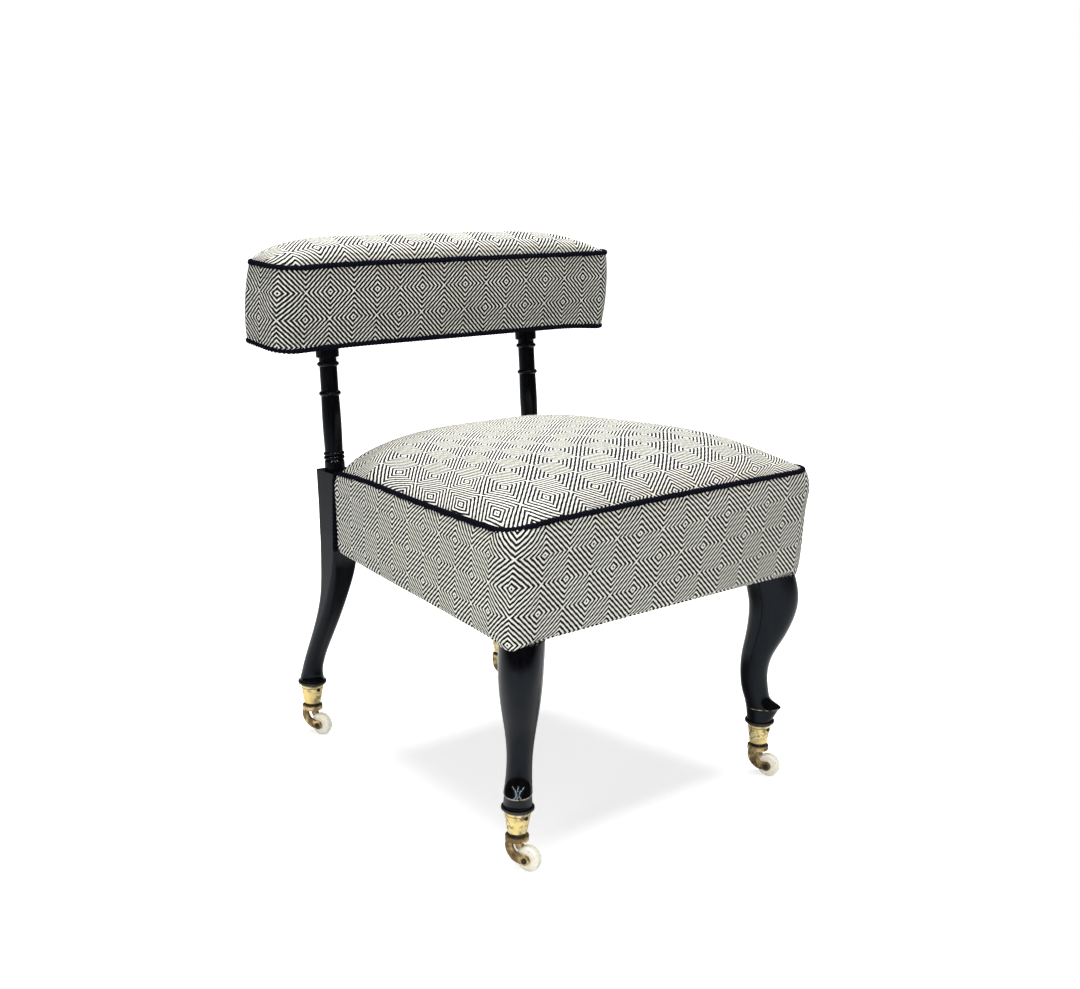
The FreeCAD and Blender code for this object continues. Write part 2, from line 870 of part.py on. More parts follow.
def block_screw(end, clearance):
    """Screw square to a right corner block's long face, into the front leg or the rear rail."""
    plan = block_plan(end)
    a = V(plan[-2][0], plan[-2][1], 0)
    b = V(plan[-1][0], plan[-1][1], 0)
    along = (b - a).normalize()
    inward = V(along.y, -along.x, 0) if along.y > 0 else V(-along.y, along.x, 0)
    middle_height = corner_block_bottom + corner_block_height / 2
    start = a + (b - a) * block_screw_places[end] + V(0, 0, middle_height)
    seat = start + inward * block_screw_head_height
    tip = seat + inward * (block_screw_length + clearance)
    head = rod(start, seat + inward * clearance, block_screw_head_diameter + 2 * clearance)
    shank = rod(seat, tip, block_screw_diameter + 2 * clearance)
    return head.fuse(shank)


def corner_block(end):
    """Right corner block, bored for its screw."""
    block = prism(block_plan(end), corner_block_bottom, corner_block_bottom + corner_block_height)
    return block.cut(block_screw(end, layer_gap))


# Seat springs and soft parts


def strap_along(x):
    """One strap from the front rail to the rear rail, under both."""
    half = strap_width / 2
    return box(x - half, x + half, front_rail_y + strap_landing / 2, rear_rail_rear - strap_landing / 2,
               rail_bottom - strap_thickness, rail_bottom)


def strap_across(y):
    """One strap from side to side: under the rails at its ends, below the other straps between."""
    end = rail_x(y, strap_landing / 2)
    land = rail_x(y, rail_thickness)
    dip = land - strap_slope
    high = rail_bottom - strap_thickness / 2
    low = high - strap_thickness
    half_thickness = strap_thickness / 2
    line = [(-end, high), (-land, high), (-dip, low), (dip, low), (land, high), (end, high)]
    upper = [V(x, y - strap_width / 2, z + half_thickness) for x, z in line]
    lower = [V(x, y - strap_width / 2, z - half_thickness) for x, z in reversed(line)]
    return Part.Face(polygon(upper + lower)).extrude(V(0, strap_width, 0))


def strap_places(pitch, middle):
    """Even places about a middle."""
    return [middle + (i - (strap_count - 1) / 2) * pitch for i in range(strap_count)]


def biarc(p0, t0, p1, t1):
    """Two tangent arcs between two points with unit tangents."""
    chord = p1 - p0
    both = t0 + t1
    a = 2 * (1 - t0.dot(t1))
    b = 2 * chord.dot(both)
    reach = (-b + math.sqrt(b * b + 4 * a * chord.dot(chord))) / (2 * a)
    joint = (p0 + p1 + (t0 - t1) * reach) / 2
    arcs = []
    for start, tangent, end in ((p0, t0, joint), (p1, -t1, joint)):
        corner = start + tangent * reach
        middle = (start + end) / 2
        to_corner = corner - middle
        half_chord = (end - start).Length / 2
        slope = to_corner.Length / half_chord
        rise = half_chord * (math.sqrt(1 + slope * slope) - 1) / slope
        crest = middle + to_corner.normalize() * rise
        arcs.append((start, crest, end))
    first = Part.Arc(*arcs[0]).toShape()
    second = Part.Arc(arcs[1][2], arcs[1][1], arcs[1][0]).toShape()
    return [first, second]


def seat_spring(x, y):
    """One hourglass coil on biarcs of a half turn, narrow at its waist.

    It starts over the middle of its lengthwise strap.
    """
    bottom = rail_bottom + spring_wire / 2 + layer_gap
    height = spring_top - spring_wire / 2 - layer_gap - bottom
    sweep = 2 * math.pi * spring_turns
    waist_drop = spring_end_radius - spring_waist_radius

    def coil(share):
        turn = math.pi / 2 + sweep * share
        radius = spring_end_radius - waist_drop * math.sin(math.pi * share) ** 2
        pull = -waist_drop * math.pi * math.sin(2 * math.pi * share)
        point = V(x + radius * math.cos(turn), y + radius * math.sin(turn), bottom + height * share)
        tangent = V(pull * math.cos(turn) - radius * sweep * math.sin(turn),
                    pull * math.sin(turn) + radius * sweep * math.cos(turn), height)
        return point, tangent.normalize()

    steps = 2 * spring_turns
    edges = []
    for i in range(steps):
        p0, t0 = coil(i / steps)
        p1, t1 = coil((i + 1) / steps)
        edges += biarc(p0, t0, p1, t1)
    return tube(Part.Wire(edges), spring_wire)


def leg_notch():
    """Room for the right rear leg and post in the upholstery."""
    return box(rear_leg_inner - leg_gap, seat_front_half_width, stump_front - leg_gap,
               seat_rear_y + rail_thickness, border_bottom_front - rail_thickness, back_bottom_seam)


def edge_piping_point(z):
    """Centre of the right upright piping beside the rear leg."""
    y = stump_front - leg_gap - piping_radius
    return V(seat_half_width(y) - piping_inset, y, z)


def edge_piping_notch():
    """Room for the right upright piping at the rear end of the side border."""
    centre = edge_piping_point(0)
    room = piping_radius + layer_gap
    return box(centre.x - room, seat_front_half_width, centre.y - room, stump_front,
               border_bottom_front - rail_thickness, seam_front)


def both_sides(tool):
    """A cutting tool on the right and its mirror image."""
    return [tool, mirrored(tool)]


def frame_form():
    """Everything inside the outer faces of the seat frame, up to the rails' tops."""
    x0 = seat_half_width(front_rail_y) - frame_inset + layer_gap
    x1 = seat_half_width(rear_rail_rear) - frame_inset + layer_gap
    y0 = front_rail_y - layer_gap
    y1 = rear_rail_rear + layer_gap
    radius = seat_corner_radius
    bottom = border_bottom_front - rail_thickness
    corners = [(-x0, y0, radius), (x0, y0, radius), (x1, y1, 0.0), (-x1, y1, 0.0)]
    face = Part.Face(rounded_wire(corners, level_at(bottom)))
    return face.extrude(V(0, 0, rail_top + layer_gap - bottom))


def seat_border_covers():
    """Cloth bands of the seat, drawn in at the foot: front with sides, and rear."""
    band = border_form(0.0).cut(border_form(cover_thickness))
    bands = cut_all(band, both_sides(leg_notch()) + both_sides(edge_piping_notch())).Solids
    return sorted(bands, key=lambda solid: solid.BoundBox.YMin)


def seat_top_cover():
    """Crowned cloth over the seat."""
    panel = crown_form(0.0).cut(crown_form(cover_thickness))
    return cut_all(panel, both_sides(leg_notch()))


def seat_stuffing():
    """Stuffing under the covers, round the outside of the rails and over the hessian."""
    gap = cover_thickness + layer_gap
    body = border_form(gap).fuse(crown_form(gap))
    hollow = hessian_form(-layer_gap)
    tools = [frame_form(), hollow] + both_sides(leg_notch()) + both_sides(edge_piping_notch())
    return cut_all(body, tools)


def spring_hessian():
    """Hessian dome over the springs, standing on the rails."""
    shell = hessian_form(0.0).cut(hessian_form(hessian_thickness))
    return cut_all(shell, both_sides(leg_notch()))


def seat_piping():
    """Piping from one rear leg round the front of the seat to the other."""
    level = seat_level(seam_front + piping_radius, seam_rear + piping_radius)
    outline = seat_outline(piping_inset, piping_inset, seat_corner_radius, level)
    end_y = stump_front - leg_gap
    end_x = seat_half_width(end_y) - piping_inset
    end = level(V(end_x, end_y, 0))
    arcs = [edge for edge in outline.OrderedEdges if edge.Curve.TypeId == "Part::GeomCircle"]
    left_arc, right_arc = sorted(arcs, key=lambda edge: edge.CenterOfMass.x)
    left_ends = sorted((v.Point for v in left_arc.Vertexes), key=lambda p: p.y)
    right_ends = sorted((v.Point for v in right_arc.Vertexes), key=lambda p: p.y)
    left_end = V(-end.x, end.y, end.z)
    path = Part.Wire([
        Part.LineSegment(left_end, left_ends[1]).toShape(),
        left_arc,
        Part.LineSegment(left_ends[0], right_ends[0]).toShape(),
        right_arc,
        Part.LineSegment(right_ends[1], end).toShape(),
    ])
    return tube(path, piping_diameter)


def rear_piping():
    """Piping along the seat's rear edge, between the rear legs."""
    y = seat_rear_y - piping_inset
    level = seat_level(seam_front + piping_radius, seam_rear + piping_radius)
    reach = rear_leg_inner - leg_gap
    return rod(level(V(-reach, y, 0)), level(V(reach, y, 0)), piping_diameter)


def edge_piping():
    """Upright piping at the rear end of the right side border."""
    y = edge_piping_point(0).y
    share = (y - seat_front_y) / (seat_rear_y - seat_front_y)
    bottom = between(border_bottom_front, border_bottom_rear, share)
    top = between(seam_front, seam_rear, share) - layer_gap
    return rod(edge_piping_point(bottom), edge_piping_point(top), piping_diameter)


def dust_cover():
    """Flat cloth under the webbing, cut out round the legs."""
    top = rail_bottom - 2 * strap_thickness
    level = seat_level(top - dust_cover_thickness, top - dust_cover_thickness)
    outline = seat_outline(dust_cover_inset, dust_cover_inset, seat_corner_radius, level)
    sheet = Part.Face(outline).extrude(V(0, 0, dust_cover_thickness))
    return cut_all(sheet, both_sides(leg_notch()) + both_sides(front_block(leg_gap)))


# Back cushion


def back_outline(side_inset, end_inset, share, z):
    """Rounded outline of the back cushion at a share of its height."""
    front = between(back_bottom_front, back_top_front, share) + side_inset
    rear = between(back_bottom_rear, back_top_rear, share) - side_inset
    half = between(back_bottom_half_width, back_top_half_width, share) - end_inset
    room = (rear - front) / (back_front_radius + back_rear_radius) * back_corner_room
    scale = min(1.0, room)
    front_radius = back_front_radius * scale
    rear_radius = back_rear_radius * scale
    return rectangle_wire(-half, half, front, rear, front_radius, rear_radius, z)


def band_form(inset):
    """The back cushion between its seams, drawn in by an inset."""
    wires = []
    for share, tuck in band_sections:
        z = between(back_bottom_seam, back_top_seam, share)
        wires.append(back_outline(tuck + inset, tuck + inset, share, z))
    return smooth_loft(wires)


def panel_form(sections, inset, share, seam, direction):
    """A crowned panel above or below a seam, drawn in by an inset."""
    wires = []
    for side, end, rise in sections:
        height = rise * (1 - inset / sections[-1][2])
        wires.append(back_outline(side + inset, end + inset, share, seam + direction * height))
    return smooth_loft(wires)


def back_crown(inset):
    """The cushion above its top seam."""
    return panel_form(back_crown_sections, inset, 1.0, back_top_seam, 1)


def back_sag(inset):
    """The cushion below its bottom seam."""
    return panel_form(back_sag_sections, inset, 0.0, back_bottom_seam, -1)


def post_tools():
    """Clearance for both posts."""
    return both_sides(post_pin_tool(leg_gap)) + both_sides(post_collar_tool(leg_gap))


def back_band_cover():
    """Cloth band round the back cushion."""
    return band_form(0.0).cut(band_form(cover_thickness))


def back_top_panel():
    """Crowned cloth on the back cushion."""
    return back_crown(0.0).cut(back_crown(cover_thickness))


def back_bottom_panel():
    """Cloth under the back cushion, let in round the posts."""
    panel = back_sag(0.0).cut(back_sag(cover_thickness))
    return cut_all(panel, post_tools())


def back_frame():
    """Bottom board, top board and end blocks of the back cushion."""
    bottom_top = bottom_board_bottom + bottom_board_thickness
    top_bottom = top_board_top - top_board_thickness
    bottom = box(-board_half_length, board_half_length, bottom_board_front, bottom_board_rear,
                 bottom_board_bottom, bottom_top)
    top = box(-board_half_length, board_half_length, top_board_front, top_board_rear,
              top_bottom, top_board_top)
    block = box(board_half_length - end_block_length, board_half_length,
                bottom_board_front, top_board_rear, bottom_top, top_bottom)
    tools = both_sides(post_pin_tool(pin_clearance)) + both_sides(post_screw(layer_gap))
    return cut_all(bottom, tools), top, block


def back_stuffing(boards):
    """Stuffing round the boards and posts."""
    gap = cover_thickness + layer_gap
    body = band_form(gap).fuse(back_crown(gap)).fuse(back_sag(gap))
    boards_form = boards[0].BoundBox
    boards_form.add(boards[1].BoundBox)
    hollow = box(boards_form.XMin - layer_gap, boards_form.XMax + layer_gap,
                 boards_form.YMin - layer_gap, boards_form.YMax + layer_gap,
                 boards_form.ZMin - layer_gap, boards_form.ZMax + layer_gap)
    return cut_all(body, [hollow] + post_tools())


def back_piping(share, z):
    """Closed piping round one seam of the back cushion."""
    return tube(back_outline(back_piping_inset, back_piping_inset, share, z), piping_diameter)


def build():
    """Make every sub-part and write it."""
    for place_name, place in CASTORS.items():
        screw = castor_screw(0.0)
        for piece_name, shape, heading in (
            ("cup", castor_cup(), 0.0),
            ("pintle", castor_pintle(), 0.0),
            ("screw", screw, 0.0),
            ("horn", castor_horn(), castor_heading),
            ("axle", castor_axle(), castor_heading),
            ("wheel", castor_wheel(), castor_heading),
        ):
            save(place_name + "_castor_" + piece_name, placed_castor(shape, place, heading))

    right_front, right_rear = front_leg(), rear_leg()
    right_rail = side_rail()
    right_edge_piping = edge_piping()
    for side, sign in SIDES.items():
        save("front_" + side + "_leg", on_side(right_front, sign))
        save("rear_" + side + "_leg", on_side(right_rear, sign))
        save(side + "_seat_rail", on_side(right_rail, sign))
        save(side + "_edge_piping", on_side(right_edge_piping, sign))
        for end in ("front", "rear"):
            save(end + "_" + side + "_corner_block", on_side(corner_block(end), sign))
    save("front_seat_rail", front_rail())
    save("rear_seat_rail", rear_rail())
    block_screws = both_sides(block_screw("front", 0.0)) + both_sides(block_screw("rear", 0.0))
    save("corner_block_screws", Part.makeCompound(block_screws))

    lengthwise = [strap_along(x) for x in strap_places(strap_pitch_across, 0.0)]
    crosswise = [strap_across(y) for y in strap_places(strap_pitch_along, spring_middle_y)]
    save("seat_webbing_lengthwise", Part.makeCompound(lengthwise))
    save("seat_webbing_crosswise", Part.makeCompound(crosswise))
    spring_places = [(0.0, spring_middle_y)]
    for x in (-strap_pitch_across, strap_pitch_across):
        spring_places += [(x, spring_front_y), (x, spring_rear_y)]
    save("seat_springs", Part.makeCompound([seat_spring(x, y) for x, y in spring_places]))
    save("spring_hessian", spring_hessian())
    save("seat_stuffing", seat_stuffing())
    save("seat_top_cover", seat_top_cover())
    front_border, rear_border = seat_border_covers()
    save("seat_border_cover", front_border)
    save("seat_rear_border_cover", rear_border)
    save("seat_piping", seat_piping())
    save("seat_rear_piping", rear_piping())
    save("seat_dust_cover", dust_cover())

    bottom_board, top_board, end_block = back_frame()
    save("back_bottom_board", bottom_board)
    save("back_top_board", top_board)
    save("back_end_blocks", Part.makeCompound(both_sides(end_block)))
    save("back_post_screws", Part.makeCompound(both_sides(post_screw(0.0))))
    save("back_stuffing", back_stuffing((bottom_board, top_board)))
    save("back_band_cover", back_band_cover())
    save("back_top_panel", back_top_panel())
    save("back_bottom_panel", back_bottom_panel())
    save("back_top_piping", back_piping(1.0, back_top_seam + piping_radius))
    save("back_bottom_piping", back_piping(0.0, back_bottom_seam - piping_radius))


build()
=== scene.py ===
import math

import bpy
import bmesh
import numpy as np
from mathutils import Matrix, Vector


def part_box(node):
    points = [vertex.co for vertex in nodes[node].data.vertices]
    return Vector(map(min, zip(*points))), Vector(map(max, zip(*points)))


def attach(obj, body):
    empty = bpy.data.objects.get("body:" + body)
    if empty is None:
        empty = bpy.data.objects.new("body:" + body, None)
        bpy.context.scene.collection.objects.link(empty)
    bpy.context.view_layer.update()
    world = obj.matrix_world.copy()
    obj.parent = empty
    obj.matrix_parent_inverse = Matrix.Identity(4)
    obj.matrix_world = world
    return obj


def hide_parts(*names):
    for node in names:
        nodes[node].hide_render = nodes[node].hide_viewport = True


# Slipper chair: covers, piping, finishes, floor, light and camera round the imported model. Metres.
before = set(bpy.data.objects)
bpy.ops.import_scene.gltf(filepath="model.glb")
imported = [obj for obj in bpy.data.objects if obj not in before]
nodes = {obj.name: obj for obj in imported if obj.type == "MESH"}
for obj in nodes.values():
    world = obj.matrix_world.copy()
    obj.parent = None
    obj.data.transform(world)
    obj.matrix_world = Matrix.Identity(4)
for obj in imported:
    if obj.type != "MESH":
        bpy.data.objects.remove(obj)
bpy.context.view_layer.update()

# Camera: it stands on a sphere round a point above the floor
camera_turn = math.radians(-42.1)
camera_rise = math.radians(13.5)
camera_roll = math.radians(1.6)
camera_reach = 1.867
camera_target = (0.0247, 0.007, 0.3394)
focal_pixels = 1503.7
photo_width = 1080
sensor_width = 36.0

# Seat outline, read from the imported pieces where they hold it
border_low, border_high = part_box("seat_border_cover")
rear_border_low, rear_border_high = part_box("seat_rear_border_cover")
seat_front = border_low.y
seat_rear = rear_border_high.y
seat_half_front = 0.2465
seat_half_rear = 0.1815
seat_corner = 0.030
corner_draw = 0.3
corner_points = 24
stump_face = border_high.y
stump_inner = rear_border_high.x

# Piping: a cord of three strands
piping_radius = 0.00325
piping_inset = 0.005
piping_lift = 0.2
cord_radius = 0.0036
cord_pitch = 0.016
cord_step = 0.0011
cord_points = 25
strand_share = 0.52
upright_lean = 0.9

# Seam of the seat: a sag by the left front corner, a lift further back and one along the front
seam_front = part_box("seat_piping")[1].z - piping_radius
seam_drop = 0.0288
seam_rear = seam_front - seam_drop
seam_step = 0.002
seam_sag = 0.0063
sag_place = -0.252
sag_front_width = 0.036
sag_side_width = 0.20
seam_lift = 0.0030
lift_place = -0.56
lift_width = 0.08
front_lift = 0.0012
front_lift_width = 0.16

# Seat border: tucks at shares of its height, swells, and the droop of its foot at the front corners
border_gap = 0.0068
border_end = stump_face - border_gap
border_return = 0.012
border_step = 0.004
border_rows = 34
border_bunch = 0.6
border_foot_front = border_low.z
border_foot_rear = 0.267
border_under = (0.014, 0.008, 0.003)
border_shares = (0.0, 0.04, 0.10, 0.30, 0.58, 0.76, 0.88, 0.95, 1.0)
border_tucks = (0.0085, 0.0050, 0.0032, 0.0016, 0.0002, -0.0012, -0.0012, 0.0006, 0.0042)
border_cover = 0.4
border_wave = 0.0012
border_wave_rate = 21.0
corner_share = 0.45
corner_place = seat_half_front - seat_corner * corner_share
corner_droop = 0.0065
droop_width = 0.026
corner_swell = 0.0018
corner_swell_share = 0.84
corner_swell_height = 0.12
corner_swell_width = 0.035
rear_points = (20, 70)
rear_bunch = 0.5
rear_bow = 0.0012
rear_bow_power = 4
rear_inset = 0.0016
rear_tuck = 0.3

# Crown of the seat
crown_points = 121
crown_bunch = 0.75
crown_edge = 0.0065
crown_start = 0.0032
crown_start_least = 0.3
crown_rise = 0.0558
crown_power = 3.69
crown_fall = 0.722
notch_start = 0.010
notch_length = 0.011
notch_gap = 0.0005
left_sag_share = 0.18
turn_down = 0.016

# Back cushion: the left and right halves of a panel have a power and a fall each
back_top_low, back_top_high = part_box("back_top_piping")
back_foot_low, back_foot_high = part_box("back_bottom_piping")
back_corner_front = 0.026
back_corner_rear = 0.012
back_corner_points = 14
back_top_sags = (-0.0028, 0.0, 0.0)
back_foot_sags = (-0.003, 0.0035, -0.0045)
left_waver = 0.065
right_waver = 0.05
band_step = 0.004
band_rows = 26
band_bunch = 0.5
band_inset = piping_radius * 0.4
band_draw = 0.0015
band_swell = 0.0045
band_roundness = 0.7
panel_points = (41, 161)
panel_bunches = (0.6, 0.75)
panel_inset = piping_radius * 1.3
panel_powers = (9.0, 5.2)
panel_falls = (0.6, 1.15)
panel_roundness = 0.32
back_rise = 0.0295
back_foot_rise = -0.006

# Swelling of each cover as cloth: pressure, and the farthest move of a point
swell_frames = 20
seat_puff = (3.0, 0.0025)
border_puff = (2.0, 0.002)
band_puff = (2.0, 0.002)
panel_puff = (2.5, 0.003)

# Cloth: diamonds of concentric lines, black where a wave of the distance passes an edge
diamond_width = 0.0700
diamond_height = 0.0630
lines_per_diamond = 11
yarn = 0.0008
seat_black_edge = -0.2
# Lower edge for the back band: wider black lines, painted shade that darkens the band
band_shade_black_edge = -0.47
black_fade = 0.14

# Lay of the cloth on each cover, in metres on the cloth or in diamonds
front_row = 0.358
front_row_climb = 0.022
side_row_share = 0.55
front_column = 0.0073
front_column_lean = 0.075
front_column_level = 0.327
back_row = 0.5885
back_column = 0.0045
back_stretch = 1.033
back_top_column = -0.006
back_top_row = 0.0237
seat_column_terms = (0.505, 3.266, 4.147)
seat_row_terms = (-0.593, 18.53, -0.726, 6.268)
lean_start = 0.03
lean_length = 0.09
left_start = -0.2
lay_reach = 0.33
rear_rows = 15.0
left_column_terms = (-0.434, 0.865, 18.128, -46.693, -84.268, 146.434)
left_row_terms = (0.2, 1.042, 14.289, -47.26, -102.583, 140.752)

# Heights on the castor cups and the front toes: painted rim, incised line and the toe's edge
cup_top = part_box("front_left_castor_cup")[1].z
rim_start = cup_top - 0.0050
line_height = cup_top - 0.0080
toe_height = 0.0882

# Dust cover and webbing straps
dust_points = 60
dust_margin = 0.017
dust_gap = 0.001
dust_front_depth = 0.052
dust_front_half = 0.186
dust_sag = 0.002
strap_count = 3
strap_points = (12, 60)
strap_width = 0.050
strap_margin = 0.012
strap_drop = 0.0008
strap_thickness = 0.0012
strap_dip_places = (0.0, 0.016, 0.031, 1.0)
strap_dips = (0.0, 0.0, 0.0015, 0.0015)

# Floor and light: each lamp has a place, an aim, a width and height, and a power
floor_half = 9
floor_points = 30
floor_glow = 0.52
floor_strength = 1.15
glow_start = 0.5
glow_end = 1.6
room_light = 0.33
mirrored_light = 0.06
backdrop_light = 1.0
lamps = {
    "left_key_lamp": ((-1.35, -0.45, 0.6), (0, -0.1, 0.3), (0.4, 0.8), 4.6),
    "front_key_lamp": ((-0.3, -1.5, 0.6), (0, -0.1, 0.3), (0.4, 0.8), 2.8),
    "top_lamp": ((0.0, 0.1, 2.6), (0, 0, 0.3), (1.8, 1.8), 112),
    "left_strip_lamp": ((-1.18, -0.03, 1.83), (-0.2, -0.24, 0.1), (0.06, 1.6), 22),
    "middle_strip_lamp": ((-0.87, -0.98, 1.83), (-0.2, -0.24, 0.1), (0.06, 1.6), 22),
    "front_strip_lamp": ((0.11, -1.19, 1.83), (-0.2, -0.24, 0.1), (0.06, 1.6), 22),
}


class Value:
    """A shader socket that takes part in Python sums."""

    def __init__(self, tree, socket):
        self.tree = tree
        self.socket = socket

    def math(self, operation, other=None, swap=False):
        pair = [self] if other is None else [other, self] if swap else [self, other]
        return self.tree.add("ShaderNodeMath", {"operation": operation}, dict(enumerate(pair)))

    def __add__(self, other):
        return self.math("ADD", other)

    def __radd__(self, other):
        return self.math("ADD", other, True)

    def __sub__(self, other):
        return self.math("SUBTRACT", other)

    def __rsub__(self, other):
        return self.math("SUBTRACT", other, True)

    def __mul__(self, other):
        return self.math("MULTIPLY", other)

    def __rmul__(self, other):
        return self.math("MULTIPLY", other, True)

    def __truediv__(self, other):
        return self.math("DIVIDE", other)

    def __abs__(self):
        return self.math("ABSOLUTE")

    def fraction(self):
        return self.math("FRACT")

    def floor(self):
        return self.math("FLOOR")

    def cosine(self):
        return self.math("COSINE")

    def lower(self, other):
        return self.math("MINIMUM", other)

    def step(self, low, high):
        """Smooth rise from 0 at low to 1 at high."""
        settings = {"interpolation_type": "SMOOTHSTEP"}
        return self.tree.add("ShaderNodeMapRange", settings,
                             {"Value": self, "From Min": low, "From Max": high})


class Finish:
    """One material, or the world, and its node tree."""

    def __init__(self, name, blocks=None):
        self.block = (bpy.data.materials if blocks is None else blocks).new(name)
        self.block.use_nodes = True
        self.nodes = self.block.node_tree.nodes
        self.links = self.block.node_tree.links
        self.shader = self.nodes.get("Principled BSDF")

    def add(self, kind, settings=None, inputs=None, output=0):
        """A node of any kind: its settings first, then the values or links of its sockets."""
        node = self.nodes.new(kind)
        for key, value in (settings or {}).items():
            setattr(node, key, value)
        for key, value in (inputs or {}).items():
            self.feed(node.inputs[key], value)
        return Value(self, node.outputs[output])

    def feed(self, socket, value):
        """Link a value to a socket, or set it there."""
        if isinstance(value, Value):
            self.links.new(value.socket, socket)
        elif hasattr(socket.default_value, "__len__") and len(socket.default_value) == 4:
            socket.default_value = (*value, 1)
        else:
            socket.default_value = value

    def place(self):
        """Object coordinates in metres."""
        return self.add("ShaderNodeTexCoord", output=3)

    def parts(self, vector):
        """The three parts of a vector."""
        first = self.add("ShaderNodeSeparateXYZ", {}, {0: vector})
        return [Value(self, out) for out in first.socket.node.outputs]

    def flat(self):
        """The piece's own map, in metres on the cloth or along and round the cord."""
        return self.add("ShaderNodeUVMap", {"uv_map": "weave"})

    def noise(self, vector, scale, detail=3.0, rough=0.55):
        """Soft noise around 0.5."""
        return self.add("ShaderNodeTexNoise", {}, {"Vector": vector, "Scale": scale, "Detail": detail,
                                                   "Roughness": rough})

    def stretched(self, vector, scale):
        """Coordinates scaled along each axis."""
        return self.add("ShaderNodeMapping", {}, {"Vector": vector, "Scale": scale})

    def mix(self, factor, first, second):
        """A colour between two."""
        return self.add("ShaderNodeMix", {"data_type": "RGBA"}, {0: factor, 6: first, 7: second}, 2)

    def bump(self, height, strength, distance):
        """A bump from a height."""
        return self.add("ShaderNodeBump", {}, {"Height": height, "Strength": strength, "Distance": distance})

    def set(self, **sockets):
        """Feed the shader's own sockets, named with underscores for spaces."""
        for key, value in sockets.items():
            self.feed(self.shader.inputs[key.replace("_", " ")], value)
        return self.block

    def end(self, output, shader):
        """Lead a shader to the named output."""
        self.links.new(shader.socket, self.nodes[output].inputs["Surface"])


# Finishes


def woven_cloth(name, black_edge):
    """Cream and black cloth: black where a cosine of the diamond distance is above black_edge.

    The distance is the sum of the shares across and up from the nearest diamond centre, folded at
    one half, and both shares go in steps of one yarn.
    """
    f = Finish(name)
    flat = f.flat()
    across, up = f.parts(flat)[:2]
    stepped_across = (across / yarn).floor() * yarn
    stepped_up = (up / yarn).floor() * yarn
    column = abs((stepped_across / diamond_width + 0.5).fraction() - 0.5)
    row = abs((stepped_up / diamond_height + 0.5).fraction() - 0.5)
    reach = column + row
    ring = reach.lower(1 - reach)
    wave = (ring * (2 * math.pi * lines_per_diamond)).cosine()
    dark = wave.step(black_edge - black_fade, black_edge + black_fade)
    slub = f.noise(f.stretched(flat, (260, 1500, 1)), 1.0, 2.0)
    shade = f.noise(flat, 9.0, 2.0)
    cream = f.mix(slub.step(0.3, 0.7), (0.76, 0.755, 0.67), (0.93, 0.93, 0.85))
    cream = f.mix(shade.step(0.35, 0.75) * 0.35, cream, (0.72, 0.70, 0.61))
    black = f.mix(slub.step(0.3, 0.75), (0.003, 0.003, 0.006), (0.014, 0.013, 0.018))
    warp = abs((across / yarn).fraction() - 0.5)
    weft = abs((up / yarn).fraction() - 0.5)
    height = warp * warp * -2.0 - weft * weft * 2.0 + slub * 0.35 - dark * 0.2
    return f.set(Base_Color=f.mix(dark, cream, black), Roughness=0.88, Specular_IOR_Level=0.1,
                 Normal=f.bump(height, 0.45, 0.0006))


def black_cord():
    """Black twisted cord with a faint blue cast; fine twist lines follow the cord's own map."""
    f = Finish("black_cord")
    flat = f.flat()
    along, around = f.parts(flat)[:2]
    fibre = f.noise(f.stretched(flat, (900, 25, 1)), 1.0, 2.0)
    twist = ((along * 900.0 + around * 9.0) * (2 * math.pi)).cosine()
    colour = f.mix(fibre.step(0.35, 0.75), (0.0012, 0.0013, 0.004), (0.004, 0.0045, 0.012))
    return f.set(Base_Color=colour, Roughness=0.85, Specular_IOR_Level=0.05,
                 Normal=f.bump(twist * 0.25 + fibre, 0.35, 0.0004))


def ebonised_wood():
    """Black polish over timber: faint grain, soft wear spots, and bare wood along the front toes' edge."""
    f = Finish("ebonised_wood")
    place = f.place()
    y, z = f.parts(place)[1:]
    grain = f.noise(f.stretched(place, (240, 240, 14)), 1.0, 4.0)
    cloud = f.noise(place, 22.0, 3.0)
    rub = f.noise(place, 90.0, 4.0, 0.7)
    wear = (rub.step(0.66, 0.74) * cloud.step(0.5, 0.66)) * 0.5
    edge = (1 - abs(z - toe_height).step(0.0002, 0.0008)) * (1 - y.step(-0.01, 0.01))
    chipped = edge * rub.step(0.40, 0.56)
    colour = f.mix(grain.step(0.3, 0.75), (0.0012, 0.0012, 0.0018), (0.004, 0.0036, 0.0045))
    colour = f.mix(wear, colour, (0.05, 0.024, 0.012))
    colour = f.mix(chipped, colour, (0.42, 0.36, 0.29))
    rough = 0.08 + cloud * 0.09 + wear * 0.2 + chipped * 0.3
    return f.set(Base_Color=colour, Roughness=rough, Specular_IOR_Level=0.18,
                 Specular_Tint=(0.72, 0.86, 1.0), Normal=f.bump(grain * 0.6 + rub * 0.4, 0.08, 0.0006))


